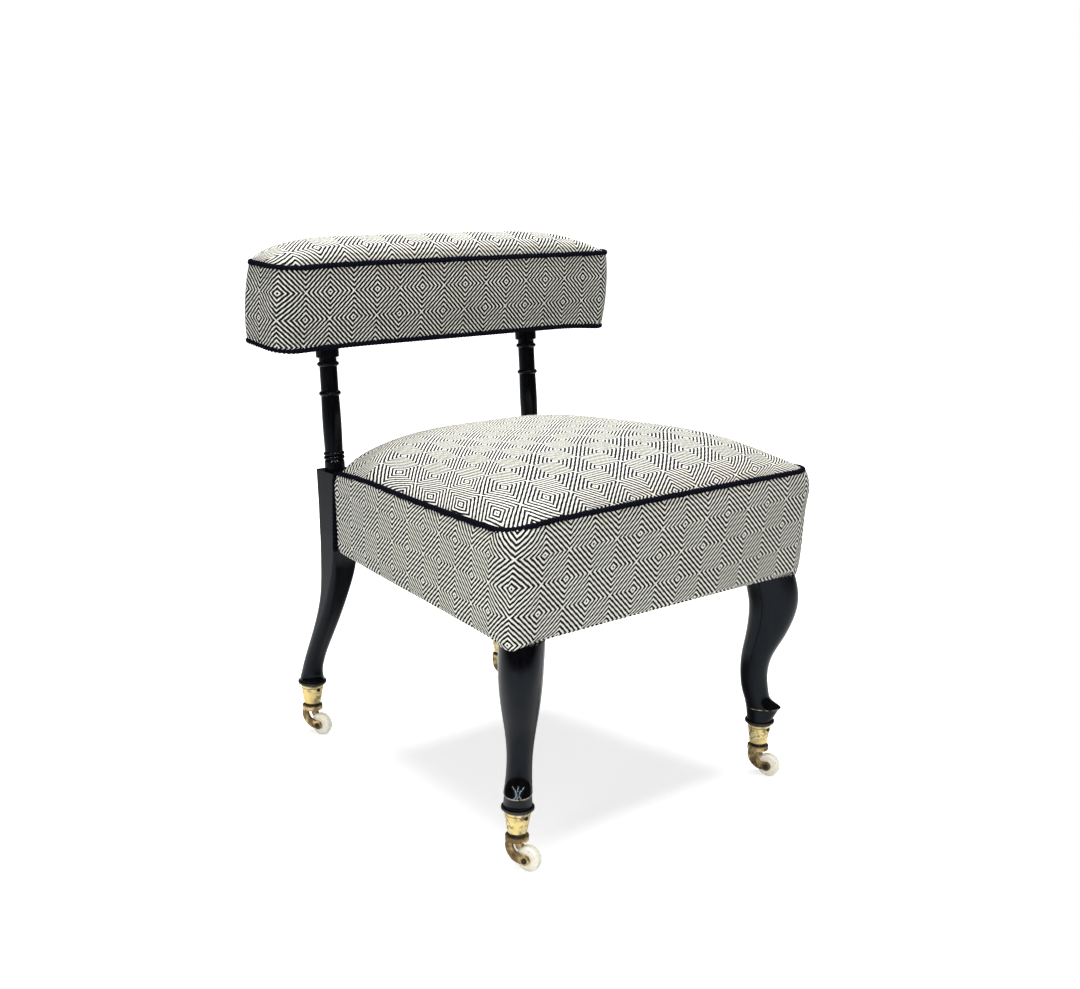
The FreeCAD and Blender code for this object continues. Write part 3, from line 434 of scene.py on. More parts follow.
def cup_brass():
    """Golden brass with dark tarnish spots, an incised line and a black painted rim."""
    f = Finish("cup_brass")
    place = f.place()
    z = f.parts(place)[2]
    spot = f.noise(place, 190.0, 5.0, 0.65)
    cloud = f.noise(place, 60.0, 3.0)
    tarnish = spot.step(0.42, 0.60) * cloud.step(0.34, 0.6)
    brass = f.mix(cloud.step(0.3, 0.7), (0.88, 0.68, 0.25), (0.98, 0.84, 0.44))
    brass = f.mix(tarnish * 0.85, brass, (0.10, 0.065, 0.03))
    line = 1 - abs(z - line_height).step(0.0002, 0.0007)
    rim = z.step(rim_start - 0.0003, rim_start + 0.0003)
    colour = f.mix(line * 0.8, brass, (0.05, 0.03, 0.015))
    colour = f.mix(rim, colour, (0.012, 0.011, 0.012))
    metal = (1 - rim) * (0.6 - tarnish * 0.3)
    rough = 0.3 + tarnish * 0.35 + rim * 0.12
    height = spot * 0.3 - line * 1.0
    return f.set(Base_Color=colour, Metallic=metal, Roughness=rough, Normal=f.bump(height, 0.25, 0.0006))


def horn_brass():
    """Brown tarnished brass, brighter where it is rubbed."""
    f = Finish("horn_brass")
    place = f.place()
    spot = f.noise(place, 210.0, 5.0, 0.65)
    cloud = f.noise(place, 70.0, 3.0)
    bright = cloud.step(0.42, 0.66)
    colour = f.mix(bright, (0.22, 0.15, 0.07), (0.74, 0.57, 0.28))
    colour = f.mix(spot.step(0.52, 0.66) * 0.7, colour, (0.05, 0.035, 0.02))
    return f.set(Base_Color=colour, Metallic=0.85, Roughness=0.62 - bright * 0.25,
                 Normal=f.bump(spot, 0.25, 0.0007))


def glazed_ceramic():
    """Ivory glaze with fine crazing and a few dark specks."""
    f = Finish("glazed_ceramic")
    place = f.place()
    cloud = f.noise(place, 120.0, 3.0)
    speck = f.noise(place, 520.0, 2.0)
    cell = f.add("ShaderNodeTexVoronoi", {"feature": "DISTANCE_TO_EDGE"}, {"Vector": place, "Scale": 330.0})
    craze = (1 - cell.step(0.01, 0.035)) * cloud.step(0.45, 0.7)
    colour = f.mix(cloud.step(0.3, 0.7), (0.95, 0.90, 0.72), (0.99, 0.97, 0.86))
    colour = f.mix(craze * 0.4, colour, (0.45, 0.33, 0.2))
    colour = f.mix(speck.step(0.62, 0.70) * 0.6, colour, (0.2, 0.14, 0.09))
    return f.set(Base_Color=colour, Roughness=0.16 + cloud * 0.14, Specular_IOR_Level=0.5,
                 Coat_Weight=0.4, Coat_Roughness=0.08)


def blackened_steel():
    """Dark steel with brown rust bloom."""
    f = Finish("blackened_steel")
    place = f.place()
    bloom = f.noise(place, 300.0, 4.0)
    colour = f.mix(bloom.step(0.45, 0.65), (0.022, 0.02, 0.019), (0.085, 0.05, 0.03))
    return f.set(Base_Color=colour, Metallic=0.7, Roughness=0.42 + bloom * 0.25,
                 Normal=f.bump(bloom, 0.15, 0.0004))


def bright_steel():
    """Plain wire and screw steel with a copper wash in places."""
    f = Finish("bright_steel")
    wash = f.noise(f.place(), 80.0, 3.0)
    colour = f.mix(wash.step(0.4, 0.65), (0.42, 0.40, 0.37), (0.40, 0.26, 0.17))
    return f.set(Base_Color=colour, Metallic=0.9, Roughness=0.32 + wash * 0.2)


def bare_beech():
    """Unpolished frame timber with rays and pores."""
    f = Finish("bare_beech")
    place = f.place()
    grain = f.noise(f.stretched(place, (30, 160, 160)), 1.0, 4.0)
    fleck = f.noise(f.stretched(place, (90, 600, 600)), 1.0, 2.0)
    colour = f.mix(grain.step(0.3, 0.7), (0.50, 0.33, 0.19), (0.66, 0.48, 0.30))
    colour = f.mix(fleck.step(0.6, 0.72) * 0.5, colour, (0.36, 0.21, 0.11))
    return f.set(Base_Color=colour, Roughness=0.62 + grain * 0.15, Normal=f.bump(fleck, 0.15, 0.0005))


def plain_weave(name, dark, light, thread):
    """A plain cloth: threads cross over and under on its own map."""
    f = Finish(name)
    flat = f.flat()
    across, up = f.parts(flat)[:2]
    over = (across * (math.pi / thread)).cosine() * (up * (math.pi / thread)).cosine()
    slub = f.noise(f.stretched(flat, (300, 300, 1)), 1.0, 3.0)
    colour = f.mix((over * 0.3 + slub).step(0.25, 0.8), dark, light)
    return f.set(Base_Color=colour, Roughness=0.9, Specular_IOR_Level=0.2,
                 Normal=f.bump(over + slub, 0.3, thread * 0.4))


# Surfaces


def sheet_mesh(name, points, flat, finish):
    """A piece from a grid of points with a flat map.

    points is rows by columns by 3, flat is the same grid's place on the cloth in metres. Each cell
    of the grid is one face. Doubled points at seams and poles are merged.
    """
    rows, columns = points.shape[:2]
    index = np.arange(rows * columns).reshape(rows, columns)
    faces = np.stack([index[:-1, :-1], index[:-1, 1:], index[1:, 1:], index[1:, :-1]], -1).reshape(-1, 4)
    mesh = bpy.data.meshes.new(name)
    mesh.from_pydata(points.reshape(-1, 3), [], faces)
    layer = mesh.uv_layers.new(name="weave")
    layer.data.foreach_set("uv", flat.reshape(-1, 2)[faces.ravel()].astype(np.float32).ravel())
    shape = bmesh.new()
    shape.from_mesh(mesh)
    bmesh.ops.remove_doubles(shape, verts=shape.verts, dist=1e-6)
    bmesh.ops.dissolve_degenerate(shape, edges=shape.edges, dist=1e-7)
    shape.to_mesh(mesh)
    shape.free()
    mesh.polygons.foreach_set("use_smooth", np.ones(len(mesh.polygons), bool))
    mesh.materials.append(finish)
    piece = bpy.data.objects.new(name, mesh)
    bpy.context.scene.collection.objects.link(piece)
    return piece


def fit_out(piece, slot, *replaced):
    """Set a piece on the chair's body in place of the named solids."""
    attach(piece, "chair")
    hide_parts(*replaced)


def arc_length(points):
    """Running length along the first axis of a point array."""
    steps = np.linalg.norm(np.diff(points, axis=0), axis=-1)
    return np.concatenate([np.zeros((1,) + steps.shape[1:]), np.cumsum(steps, axis=0)])


def spread_along(line, places):
    """Points of a line at given distances along it."""
    length = arc_length(line)
    return np.stack([np.interp(places, length, line[:, k]) for k in range(line.shape[1])], -1)


def even_line(line, step):
    """The same line with points an even step apart, and their distances along it."""
    length = arc_length(line)[-1]
    even = np.linspace(0, length, int(length / step) + 1)
    return spread_along(line, even), even


def unit(vectors):
    """Each row of an array brought to length one."""
    return vectors / np.linalg.norm(vectors, axis=1, keepdims=True)


def eased(count, bunch):
    """Shares from 0 to 1, closer together near both ends by the amount bunch."""
    t = np.linspace(0, 1, count)
    return t - bunch * np.sin(2 * np.pi * t) / (2 * np.pi)


def hump(distance, width):
    """A bell curve: 1 at no distance, fading over the width."""
    return np.exp(-(distance / width) ** 2)


def corner_cut(depth, radius):
    """How far a round corner draws in at a depth from the end, as a quarter circle."""
    ease = np.clip((radius - depth) / radius, 0, 1)
    return radius * (1 - np.sqrt(1 - ease ** 2))


def edge_points(mesh):
    """True for each point on an open edge of a mesh and for its neighbours."""
    used = np.empty(len(mesh.loops), np.int32)
    mesh.loops.foreach_get("edge_index", used)
    pairs = np.empty(len(mesh.edges) * 2, np.int32)
    mesh.edges.foreach_get("vertices", pairs)
    pairs = pairs.reshape(-1, 2)
    found = np.zeros(len(mesh.vertices), bool)
    found[pairs[np.bincount(used, minlength=len(pairs)) == 1].ravel()] = True
    grown = found.copy()
    grown[pairs[found[pairs].any(axis=1)].ravel()] = True
    return grown


def settle(piece, pressure, cap):
    """Let a cover swell as cloth: gravity off, edges pinned, and no point moves further than cap."""
    mesh = piece.data
    rest = np.empty(len(mesh.vertices) * 3, np.float32)
    mesh.vertices.foreach_get("co", rest)
    group = piece.vertex_groups.new(name="pinned")
    group.add(np.flatnonzero(edge_points(mesh)).tolist(), 1.0, "REPLACE")
    cloth = piece.modifiers.new("cloth", "CLOTH")
    cloth.settings.quality = 5
    cloth.settings.mass = 0.35
    cloth.settings.tension_stiffness = 18
    cloth.settings.compression_stiffness = 12
    cloth.settings.shear_stiffness = 6
    cloth.settings.bending_stiffness = 1.2
    cloth.settings.use_pressure = True
    cloth.settings.uniform_pressure_force = pressure
    cloth.settings.vertex_group_mass = "pinned"
    cloth.settings.effector_weights.gravity = 0
    cloth.point_cache.frame_start = 1
    cloth.point_cache.frame_end = swell_frames
    scene = bpy.context.scene
    for number in range(1, swell_frames + 1):
        scene.frame_set(number)
    shape = piece.evaluated_get(bpy.context.evaluated_depsgraph_get()).data
    swollen = np.empty_like(rest)
    shape.vertices.foreach_get("co", swollen)
    piece.modifiers.remove(cloth)
    piece.vertex_groups.clear()
    scene.frame_set(1)
    shift = (swollen - rest).reshape(-1, 3)
    length = np.linalg.norm(shift, axis=1, keepdims=True)
    shift *= cap * np.tanh(length / cap) / np.maximum(length, 1e-9)
    mesh.vertices.foreach_set("co", (rest.reshape(-1, 3) + shift).ravel())
    mesh.update()


# Seat


def seat_half(y):
    """Half width of the seat at its widest, a straight taper from front to rear."""
    return seat_half_front + (seat_half_rear - seat_half_front) * (y - seat_front) / (seat_rear - seat_front)


def seam_height(y):
    """Height of the seam between border and top, a straight slope from front to rear."""
    return seam_front + (seam_rear - seam_front) * (y - seat_front) / (seat_rear - seat_front)


def seam_dip(distance):
    """Sag of the seam by the left front corner and its slight lift further back, along the plan line."""
    width = np.where(distance > sag_place, sag_front_width, sag_side_width)
    return seam_lift * hump(distance - lift_place, lift_width) - seam_sag * hump(distance - sag_place, width)


def seat_path(inset, step):
    """Plan line from the left stump round the front to the right stump, drawn in by an inset.

    Straight sides, an arc at each front corner and a straight front, with points an even step
    apart. Returns the points, the outward direction at each and its distance from the middle.
    """
    lean = math.atan((seat_half_front - seat_half_rear) / (seat_rear - seat_front))
    radius = seat_corner - inset * corner_draw
    front = seat_front + inset
    side = seat_half(front) - inset
    reach = radius * math.tan((math.pi / 2 + lean) / 2)
    turn = np.linspace(0, math.pi / 2 + lean, corner_points)
    centre = np.array([side - reach, front + radius])
    arc = centre + radius * np.stack([np.sin(turn), -np.cos(turn)], -1)
    end = np.array([[seat_half(border_end) - inset, border_end]])
    right = np.concatenate([[[0.0, front]], arc, end])
    points, even = even_line(np.concatenate([right[:0:-1] * (-1, 1), right]), step)
    along = unit(np.gradient(points, axis=0))
    return points, np.stack([along[:, 1], -along[:, 0]], -1), even - even[-1] / 2


def seat_lay(s, along):
    """Column and row of the cloth at a share across the seat and a length from its front edge.

    Columns run with the share and lean a little near the front. Rows run with the length and bow
    with the share squared. Left of left_start the cloth is pulled towards the corner, by sums of
    the distance past it and its square times 1, the length and the length squared.
    """
    lean = np.clip(along - lean_start, 0, lean_length)
    columns = seat_column_terms[0] + seat_column_terms[1] * s + seat_column_terms[2] * lean
    reach = np.minimum(along, lay_reach)
    rows = seat_row_terms[0] + seat_row_terms[1] * reach + rear_rows * (along - reach)
    rows = rows + (seat_row_terms[2] + seat_row_terms[3] * reach) * s ** 2
    past = np.clip(left_start - s, 0, None)
    terms = np.stack(np.broadcast_arrays(past, past ** 2, past * reach, past ** 2 * reach,
                                         past * reach ** 2, past ** 2 * reach ** 2), -1)
    return columns + terms @ np.array(left_column_terms), rows + terms @ np.array(left_row_terms)


def seat_cushion(finish):
    """Crowned top of the seat.

    Across, the share s runs from -1 to 1 and x is s times the half width at y; the half width keeps
    to the taper, rounds in at the front corners and steps in beside the rear stumps. The height is
    the seam plus the rise times f(s) f(v), where f(t) is (1 - |t|^power)^fall and v runs from front
    to rear, plus a small start that stays at the edges. The left edge follows the seam's sag and
    lift, and one more ring of points turns straight down behind the piping.
    """
    t = eased(crown_points, crown_bunch)
    s = 2 * t - 1
    front = seat_front + crown_edge
    rear = seat_rear - crown_edge
    y = front + (rear - front) * t
    half = seat_half(y) - crown_edge - corner_cut(y - front, seat_corner - crown_edge * corner_draw)
    notch = np.clip((y - (stump_face - notch_start)) / notch_length, 0, 1)
    notch = notch ** 2 * (3 - 2 * notch)
    half = half + (stump_inner - notch_gap - half) * notch
    fall = (1 - np.abs(s) ** crown_power).clip(0) ** crown_fall
    crown = fall[:, None] * fall[None]
    points = np.empty(crown.shape + (3,))
    points[..., 0] = half[:, None] * s[None]
    points[..., 1] = y[:, None]
    points[..., 2] = seam_height(y)[:, None] + crown_rise * crown
    points[..., 2] += crown_start * np.maximum(crown, crown_start_least)
    left_line = -(points[..., 1] - seat_front) - seat_half_front
    points[..., 2] += hump(s[None] + 1, left_sag_share) * seam_dip(left_line)
    columns, rows = seat_lay(s[None], arc_length(points))
    flat = np.stack([diamond_width * columns, diamond_height * rows], -1)
    points = np.pad(points, ((1, 1), (1, 1), (0, 0)), mode="edge")
    flat = np.pad(flat, ((1, 1), (1, 1), (0, 0)), mode="edge")
    points[[0, -1], :, 2] -= turn_down
    points[1:-1, [0, -1], 2] -= turn_down
    flat[[0, -1], :, 1] -= turn_down
    flat[1:-1, [0, -1], 0] -= turn_down
    piece = sheet_mesh("seat_cushion", points, flat, finish)
    settle(piece, *seat_puff)
    fit_out(piece, "woven_cloth", "seat_top_cover", "seat_stuffing", "spring_hessian")


def seat_border(finish):
    """Band round the front and sides of the seat.

    A point is the plan line at its distance along, moved in by the tuck at its share of the height
    and out by a slow wave and a swell low at the front corners. The foot droops at those corners
    and turns under the rail, and both ends turn in beside the stumps.
    """
    line, outward, distance = seat_path(0.0, border_step)
    under = np.concatenate([border_under, np.zeros(border_rows)])
    share = np.concatenate([np.zeros(len(border_under)), eased(border_rows, border_bunch)])
    from_corner = np.abs(distance) - corner_place
    along_share = (line[:, 1] - seat_front) / (seat_rear - seat_front)
    foot = border_foot_front + (border_foot_rear - border_foot_front) * along_share
    foot = foot - corner_droop * hump(from_corner, droop_width)
    seam = seam_height(line[:, 1])
    top = seam + seam_dip(distance) + piping_radius * border_cover
    tuck = np.interp(share, border_shares, border_tucks)[:, None] + under[:, None]
    swell = np.sin(np.pi * share)[:, None] * border_wave * np.sin(distance * border_wave_rate)[None]
    low_swell = corner_swell * hump(share - corner_swell_share, corner_swell_height)
    swell = swell + low_swell[:, None] * hump(from_corner, corner_swell_width)[None]
    points = np.empty((len(share), len(line), 3))
    points[..., :2] = line[None] - outward[None] * (tuck - swell)[..., None]
    points[..., 2] = foot[None] + (top - foot)[None] * share[:, None]
    lean = front_column + front_column_lean * (points[..., 2] - front_column_level)
    climb = front_row_climb * np.clip(distance, 0, seat_half_front)
    row_start = front_row + climb - (seam_front - seam) * side_row_share
    flat = np.stack([distance[None] - lean, points[..., 2] - row_start[None] - under[:, None]], -1)
    points = np.pad(points, ((0, 0), (1, 1), (0, 0)), mode="edge")
    flat = np.pad(flat, ((0, 0), (1, 1), (0, 0)), mode="edge")
    points[:, [0, -1], :2] -= border_return * outward[[0, -1]][None]
    flat[:, 0, 0] -= border_return
    flat[:, -1, 0] += border_return
    piece = sheet_mesh("seat_border", points[:, ::-1], flat[:, ::-1], finish)
    settle(piece, *border_puff)
    fit_out(piece, "woven_cloth", "seat_border_cover")


def seat_rear_border(finish):
    """Flat band across the rear between the stumps, bowed out a little in the middle of its height."""
    share = eased(rear_points[0], rear_bunch)
    x = np.linspace(rear_border_low.x, rear_border_high.x, rear_points[1])
    points = np.empty((len(share), len(x), 3))
    bow = rear_bow * np.sin(np.pi * share)[:, None] * (1 - (x / x[-1]) ** rear_bow_power)[None]
    tuck = np.interp(share, border_shares, border_tucks)[:, None] * rear_tuck
    foot, top = rear_border_low.z, seam_height(seat_rear)
    points[..., 0] = x[None]
    points[..., 1] = seat_rear - rear_inset - tuck + bow
    points[..., 2] = foot + (top - foot) * share[:, None]
    flat = np.stack([points[..., 0], points[..., 2] - front_row], -1)
    piece = sheet_mesh("seat_rear_border", points[:, ::-1], flat[:, ::-1], finish)
    fit_out(piece, "woven_cloth", "seat_rear_border_cover")


# Piping


def twisted_cord(node, line, closed, finish):
    """A cord of three strands along a line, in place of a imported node.

    Round the cord, the radius at an angle is the farthest reach of three circles set round the
    middle; the angle turns with the distance along by one turn per pitch. Open ends close to a
    point in a short dome.
    """
    strand = strand_share * cord_radius
    offset = cord_radius - strand
    path, even = even_line(line, cord_step)
    along = np.gradient(path, axis=0)
    if closed:
        along[0] = along[-1] = path[1] - path[-2]
    along = unit(along)
    upright = np.abs(along[:, 2]).max() >= upright_lean
    side = unit(np.cross(along, (0.0, 1.0, 0.0) if upright else (0.0, 0.0, 1.0)))
    over = np.cross(side, along)
    angle = np.linspace(0, 2 * np.pi, cord_points)
    turns = max(1, round(even[-1] / cord_pitch)) / even[-1]
    swing = angle[None] - 2 * np.pi * turns * even[:, None]
    away = (swing + np.pi / 3) % (2 * np.pi / 3) - np.pi / 3
    reach = offset * np.cos(away) + np.sqrt(np.maximum(strand ** 2 - (offset * np.sin(away)) ** 2, 0))
    if not closed:
        dome = np.minimum(even, even[-1] - even) / cord_radius
        reach *= np.sqrt(np.clip(1 - np.clip(1 - dome, 0, 1) ** 2, 0, 1))[:, None]
    points = path[:, None] + reach[..., None] * (
        np.cos(angle)[None, :, None] * side[:, None] + np.sin(angle)[None, :, None] * over[:, None])
    flat = np.stack(np.broadcast_arrays(even[:, None], angle[None] / (2 * np.pi)), -1)
    fit_out(sheet_mesh(node + "_cord", points, flat, finish), "black_piping", node)


def seat_piping_line():
    """Seam line of the seat in space, with a slight lift along the front."""
    line, distance = seat_path(piping_inset, seam_step)[::2]
    height = seam_height(line[:, 1]) + seam_dip(distance) + piping_radius * piping_lift
    height = height + front_lift * hump(distance, front_lift_width)
    return np.concatenate([line, height[:, None]], 1)


def waver(x, y, low, high, sags):
    """Rise or fall of a seam of the back cushion at a point.

    sags holds the heights added at the left front, left rear and right front corner; each fades
    over a short way along the cushion.
    """
    front = np.clip((high.y - y) / (high.y - low.y), 0, 1)
    left = hump(x - low.x, left_waver) * (sags[0] * front + sags[1] * (1 - front))
    return left + hump(x - high.x, right_waver) * sags[2] * front


def rounded_loop(low, high, sags):
    """Closed seam line of the back cushion, from the middle of the rear.

    A rectangle with arcs at its corners, at the middle height of its box plus the waver.
    """
    quarter = np.linspace(0, np.pi / 2, back_corner_points)
    rear_arc = np.stack([high.x - back_corner_rear + back_corner_rear * np.sin(quarter),
                         high.y - back_corner_rear + back_corner_rear * np.cos(quarter)], -1)
    front_arc = np.stack([high.x - back_corner_front + back_corner_front * np.cos(quarter),
                          low.y + back_corner_front - back_corner_front * np.sin(quarter)], -1)
    half = np.concatenate([[[0.0, high.y]], rear_arc, front_arc, [[0.0, low.y]]])
    loop = even_line(np.concatenate([half, half[-2::-1] * (-1, 1)]), seam_step)[0]
    height = (low.z + high.z) / 2 + waver(loop[:, 0], loop[:, 1], low, high, sags)
    return np.concatenate([loop, height[:, None]], 1)


def inset_corners(low, high, inset):
    """Two corners of a box drawn in along x and y."""
    step = Vector((inset, inset, 0))
    return low + step, high - step


def pipings(finish):
    """Every length of piping on the chair."""
    twisted_cord("seat_piping", seat_piping_line(), False, finish)
    low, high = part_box("seat_rear_piping")
    middle = (low + high) / 2
    rear = np.array([[low.x, middle.y, middle.z], [high.x, middle.y, middle.z]])
    twisted_cord("seat_rear_piping", rear, False, finish)
    for node in ("left_edge_piping", "right_edge_piping"):
        low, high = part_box(node)
        middle = (low + high) / 2
        upright = np.array([[middle.x, middle.y, low.z], [middle.x, middle.y, high.z]])
        twisted_cord(node, upright, False, finish)
    for node, sags in (("back_top_piping", back_top_sags), ("back_bottom_piping", back_foot_sags)):
        low, high = inset_corners(*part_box(node), piping_radius)
        twisted_cord(node, rounded_loop(low, high, sags), True, finish)


# Back cushion


def back_band(finish):
    """Band of the back cushion: the loop at each share of the height, swelling between its seams."""
    foot_box = inset_corners(back_foot_low, back_foot_high, band_inset)
    top_box = inset_corners(back_top_low, back_top_high, band_inset)
    foot, distance = even_line(rounded_loop(*foot_box, back_foot_sags), band_step)
    top_line = rounded_loop(*top_box, back_top_sags)
    top = spread_along(top_line, np.linspace(0, arc_length(top_line)[-1], len(foot)))
    along = np.roll(foot, -1, 0) - np.roll(foot, 1, 0)
    along[0] = along[-1] = foot[1] - foot[-2]
    along = unit(along)
    outward = np.stack([-along[:, 1], along[:, 0], np.zeros(len(along))], -1)
    share = eased(band_rows, band_bunch)
    swell = band_swell * np.sin(np.pi * share) ** band_roundness - band_draw
    points = foot[None] + (top - foot)[None] * share[:, None, None] + outward[None] * swell[:, None, None]
    flat = np.empty(points.shape[:2] + (2,))
    flat[..., 0] = (distance[-1] / 2 - distance[None] - back_column) * back_stretch
    flat[..., 1] = points[..., 2] - back_row
    piece = sheet_mesh("back_band", points, flat, finish)
    settle(piece, *band_puff)
    fit_out(piece, "woven_cloth", "back_band_cover", "back_stuffing")


def back_panel(name, low, high, rise, sags, finish, replaced):
    """Panel of the back cushion over a rounded rectangle.

    The depth rounds in at the ends; the height is the seam plus the rise times
    (1 - |u|^power)^fall (1 - v^2)^roundness, fuller at the left end, with u along and v across.
    """
    v = 2 * eased(panel_points[0], panel_bunches[0]) - 1
    u = 2 * eased(panel_points[1], panel_bunches[1]) - 1
    half = (high.x - low.x) / 2
    x = half * u
    front = low.y + corner_cut(half - np.abs(x), back_corner_front)
    rear = high.y - corner_cut(half - np.abs(x), back_corner_rear)
    points = np.empty((len(v), len(u), 3))
    points[..., 0] = x[None]
    points[..., 1] = (front + rear)[None] / 2 + v[:, None] * (rear - front)[None] / 2
    lift = (1 - np.abs(u) ** np.where(u < 0, *panel_powers)).clip(0) ** np.where(u < 0, *panel_falls)
    arch = (1 - v ** 2).clip(0) ** panel_roundness
    points[..., 2] = (low.z + high.z) / 2 + rise * arch[:, None] * lift[None]
    points[..., 2] += waver(points[..., 0], points[..., 1], low, high, sags)
    column = (points[..., 0] - back_top_column) * back_stretch
    flat = np.stack([column, arc_length(points) - back_top_row], -1)
    if rise < 0:
        points, flat = points[::-1], flat[::-1]
    piece = sheet_mesh(name, points, flat, finish)
    settle(piece, *panel_puff)
    fit_out(piece, "woven_cloth", replaced)


def back_panels(finish):
    """Crowned top and sagging underside of the back cushion."""
    low, high = inset_corners(back_top_low, back_top_high, panel_inset)
    back_panel("back_top_cover", low, high, back_rise, back_top_sags, finish, "back_top_panel")
    low, high = inset_corners(back_foot_low, back_foot_high, panel_inset)
    back_panel("back_underside_cover", low, high, back_foot_rise, back_foot_sags, finish, "back_bottom_panel")


# Underside


def dust_cover(finish):
    """Thin black cloth under the seat.

    It tapers with the rails, is narrower between the front legs and between the stumps, and sags in
    the middle by a product of two parabolas.
    """
    low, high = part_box("seat_dust_cover")
    t = np.linspace(0, 1, dust_points)
    s = np.linspace(-1, 1, dust_points)
    y = low.y + (high.y - low.y) * t
    half = seat_half(y) - dust_margin
    half = np.where(y > stump_face - dust_gap, stump_inner - dust_gap, half)
    half = np.where(y < low.y + dust_front_depth, np.minimum(half, dust_front_half), half)
    points = np.empty((len(y), len(s), 3))
    points[..., 0] = half[:, None] * s[None]
    points[..., 1] = y[:, None]
    sag = (1 - s ** 2)[None] * (4 * t * (1 - t))[:, None]
    points[..., 2] = low.z - dust_sag * sag
    piece = sheet_mesh("dust_cover_cloth", points[::-1], points[::-1, :, :2].copy(), finish)
    float(np.trapz(2 * half, y))
    fit_out(piece, "dust_cloth", "seat_dust_cover")


def webbing_straps(finish):
    """Straps as thin bands: lengthwise ones level, crosswise ones dipping under them between rails."""
    rows, columns = strap_points
    for name, axis in (("lengthwise", 0), ("crosswise", 1)):
        low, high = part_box("seat_webbing_" + name)
        centres = np.linspace(low[axis] + strap_width / 2, high[axis] - strap_width / 2, strap_count)
        for number, centre in enumerate(centres):
            reach = seat_half(centre) - strap_margin
            along = np.linspace(-reach, reach, columns) if axis else np.linspace(low.y, high.y, columns)
            across = np.linspace(centre - strap_width / 2, centre + strap_width / 2, rows)
            points = np.empty((rows, columns, 3))
            points[..., axis] = across[:, None]
            points[..., 1 - axis] = along[None]
            edge = np.minimum(along - along[0], along[-1] - along)
            dip = np.interp(edge, strap_dip_places, strap_dips) if axis else np.zeros(columns)
            points[..., 2] = high.z - strap_drop - dip[None]
            if axis:
                points = points[:, ::-1]
            piece = sheet_mesh("webbing_%s_%d" % (name, number + 1), points, points[..., :2].copy(), finish)
            wall = piece.modifiers.new("thickness", "SOLIDIFY")
            wall.thickness = strap_thickness
            wall.offset = 0
            fit_out(piece, "webbing", "seat_webbing_" + name)


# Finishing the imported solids


def paint(finish, *words):
    """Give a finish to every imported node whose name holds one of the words."""
    for name, node in nodes.items():
        if any(word in name for word in words):
            node.data.materials.clear()
            node.data.materials.append(finish)


# Stage


def stage_floor():
    """Pale floor: a little brighter to the camera, so that it is white outside the chair's shadow."""
    f = Finish("pale_floor")
    f.nodes.remove(f.shader)
    cloud = f.noise(f.place(), 3.0, 2.0)
    pale = f.mix(cloud, (0.80, 0.80, 0.80), (0.82, 0.82, 0.82))
    soft = f.add("ShaderNodeBsdfDiffuse", {}, {"Color": pale})
    away = f.add("ShaderNodeVectorMath", {"operation": "LENGTH"}, {0: f.place()}, 1)
    seen = f.add("ShaderNodeLightPath", output="Is Camera Ray")
    share = seen * (floor_glow + away.step(glow_start, glow_end) * (1 - floor_glow))
    colour = f.mix(share, (0, 0, 0), (1, 1, 1))
    glow = f.add("ShaderNodeEmission", {}, {"Color": colour, "Strength": floor_strength})
    f.end("Material Output", f.add("ShaderNodeAddShader", {}, {0: soft, 1: glow}))
    side = np.linspace(-floor_half, floor_half, floor_points)
    x, y = np.meshgrid(side, side)
    points = np.stack([x, y, np.zeros_like(x)], -1)
    floor = sheet_mesh("stage_floor", points, points[..., :2].copy(), f.block)


def lamp(name, place, aim, size, power):
    """A soft lamp that looks at a point; a strip is only mirrored in the polish, the rest only light."""
    mirrored = "strip" in name
    data = bpy.data.lights.new(name, "AREA")
    data.shape = "RECTANGLE"
    data.size, data.size_y = size
    data.energy = power
    lamp_object = bpy.data.objects.new(name, data)
    lamp_object.location = place
    lamp_object.visible_glossy = mirrored
    lamp_object.visible_diffuse = not mirrored
    lamp_object.rotation_euler = (Vector(aim) - Vector(place)).to_track_quat("-Z", "Y").to_euler()
    bpy.context.scene.collection.objects.link(lamp_object)


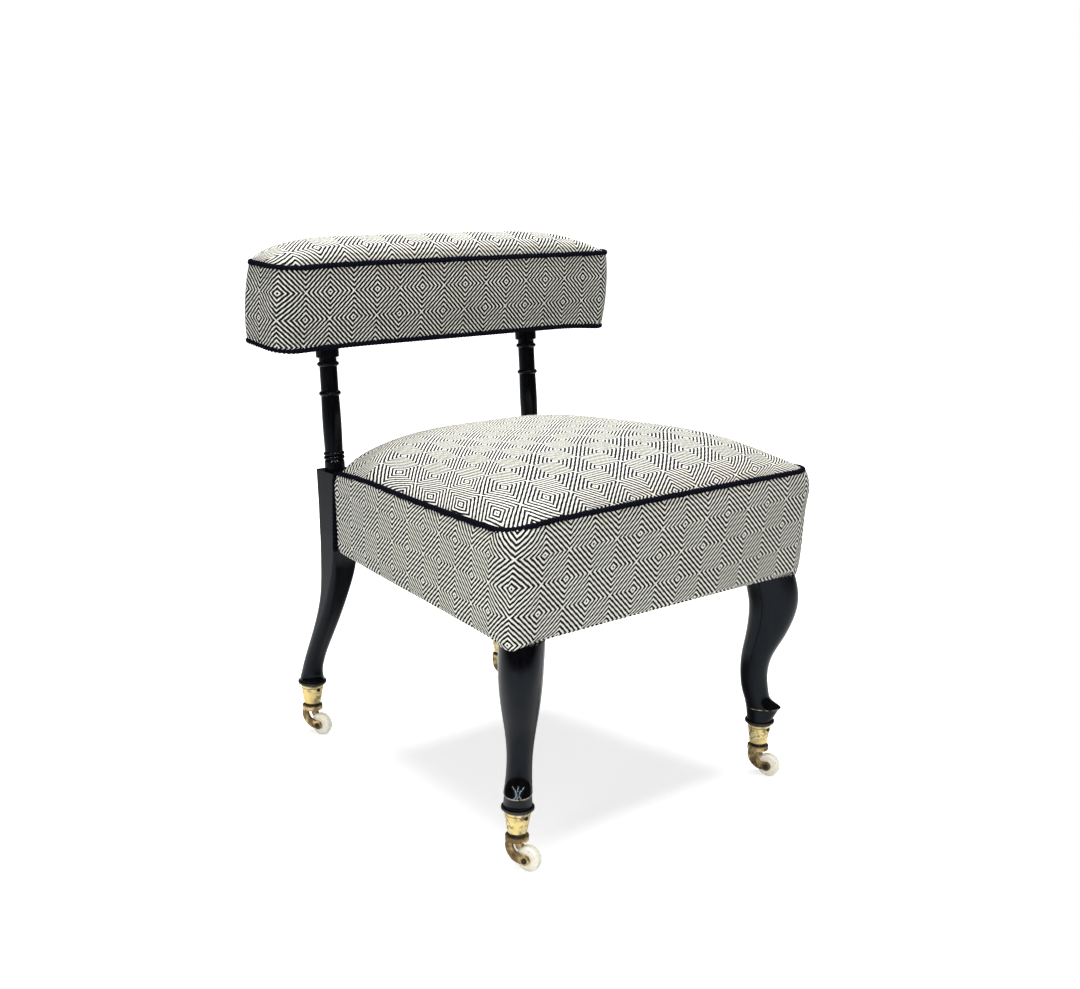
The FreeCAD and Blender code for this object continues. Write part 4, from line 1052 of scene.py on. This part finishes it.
def studio():
    """World that is white to the camera, softly lit for the covers and dim in mirrors, and the lamps."""
    f = Finish("studio", bpy.data.worlds)
    f.nodes.remove(f.nodes["Background"])
    room, mirrored, backdrop = [f.add("ShaderNodeBackground", {}, {"Color": (1, 1, 1), "Strength": strength})
                                for strength in (room_light, mirrored_light, backdrop_light)]
    glossy = f.add("ShaderNodeLightPath", output="Is Glossy Ray")
    seen = f.add("ShaderNodeLightPath", output="Is Camera Ray")
    light = f.add("ShaderNodeMixShader", {}, {0: glossy, 1: room, 2: mirrored})
    f.end("World Output", f.add("ShaderNodeMixShader", {}, {0: seen, 1: light, 2: backdrop}))
    bpy.context.scene.world = f.block
    for name, settings in lamps.items():
        lamp(name, *settings)
    bpy.context.scene.view_settings.view_transform = "Standard"


def camera():
    """Camera at the photograph's angle: right, up and back directions from turn, rise and roll."""
    back = Vector((math.sin(camera_turn) * math.cos(camera_rise),
                   -math.cos(camera_turn) * math.cos(camera_rise), math.sin(camera_rise)))
    right = Vector((math.cos(camera_turn), math.sin(camera_turn), 0))
    up = back.cross(right)
    tilted_right = right * math.cos(camera_roll) + up * math.sin(camera_roll)
    tilted_up = up * math.cos(camera_roll) - right * math.sin(camera_roll)
    data = bpy.data.cameras.new("camera")
    data.sensor_width = sensor_width
    data.lens = focal_pixels / photo_width * sensor_width
    data.clip_start = 0.05
    data.clip_end = 50
    view = bpy.data.objects.new("camera", data)
    view.matrix_world = Matrix((tilted_right, tilted_up, back)).transposed().to_4x4()
    view.location = Vector(camera_target) + back * camera_reach
    bpy.context.scene.collection.objects.link(view)
    bpy.context.scene.camera = view


def build():
    """Dress the chair."""
    cloth = woven_cloth("woven_cloth", seat_black_edge)
    # The back band's copy of the cloth has wider black lines than the rest: painted shade
    shaded_band_cloth = woven_cloth("band_cloth_painted_shade", band_shade_black_edge)
    paint(ebonised_wood(), "_leg")
    paint(cup_brass(), "_castor_cup")
    paint(horn_brass(), "_castor_horn")
    paint(glazed_ceramic(), "_castor_wheel")
    paint(blackened_steel(), "_castor_pintle", "_castor_axle", "_castor_screw")
    paint(bare_beech(), "_rail", "corner_block", "_board", "end_blocks")
    paint(bright_steel(), "_screws", "seat_springs")
    seat_cushion(cloth)
    seat_border(cloth)
    seat_rear_border(cloth)
    back_band(shaded_band_cloth)
    back_panels(cloth)
    pipings(black_cord())
    dust_cover(plain_weave("dust_cloth", (0.012, 0.012, 0.013), (0.035, 0.035, 0.038), 0.0006))
    webbing_straps(plain_weave("jute_webbing", (0.25, 0.18, 0.10), (0.52, 0.41, 0.26), 0.0016))
    stage_floor()
    studio()
    camera()


build()
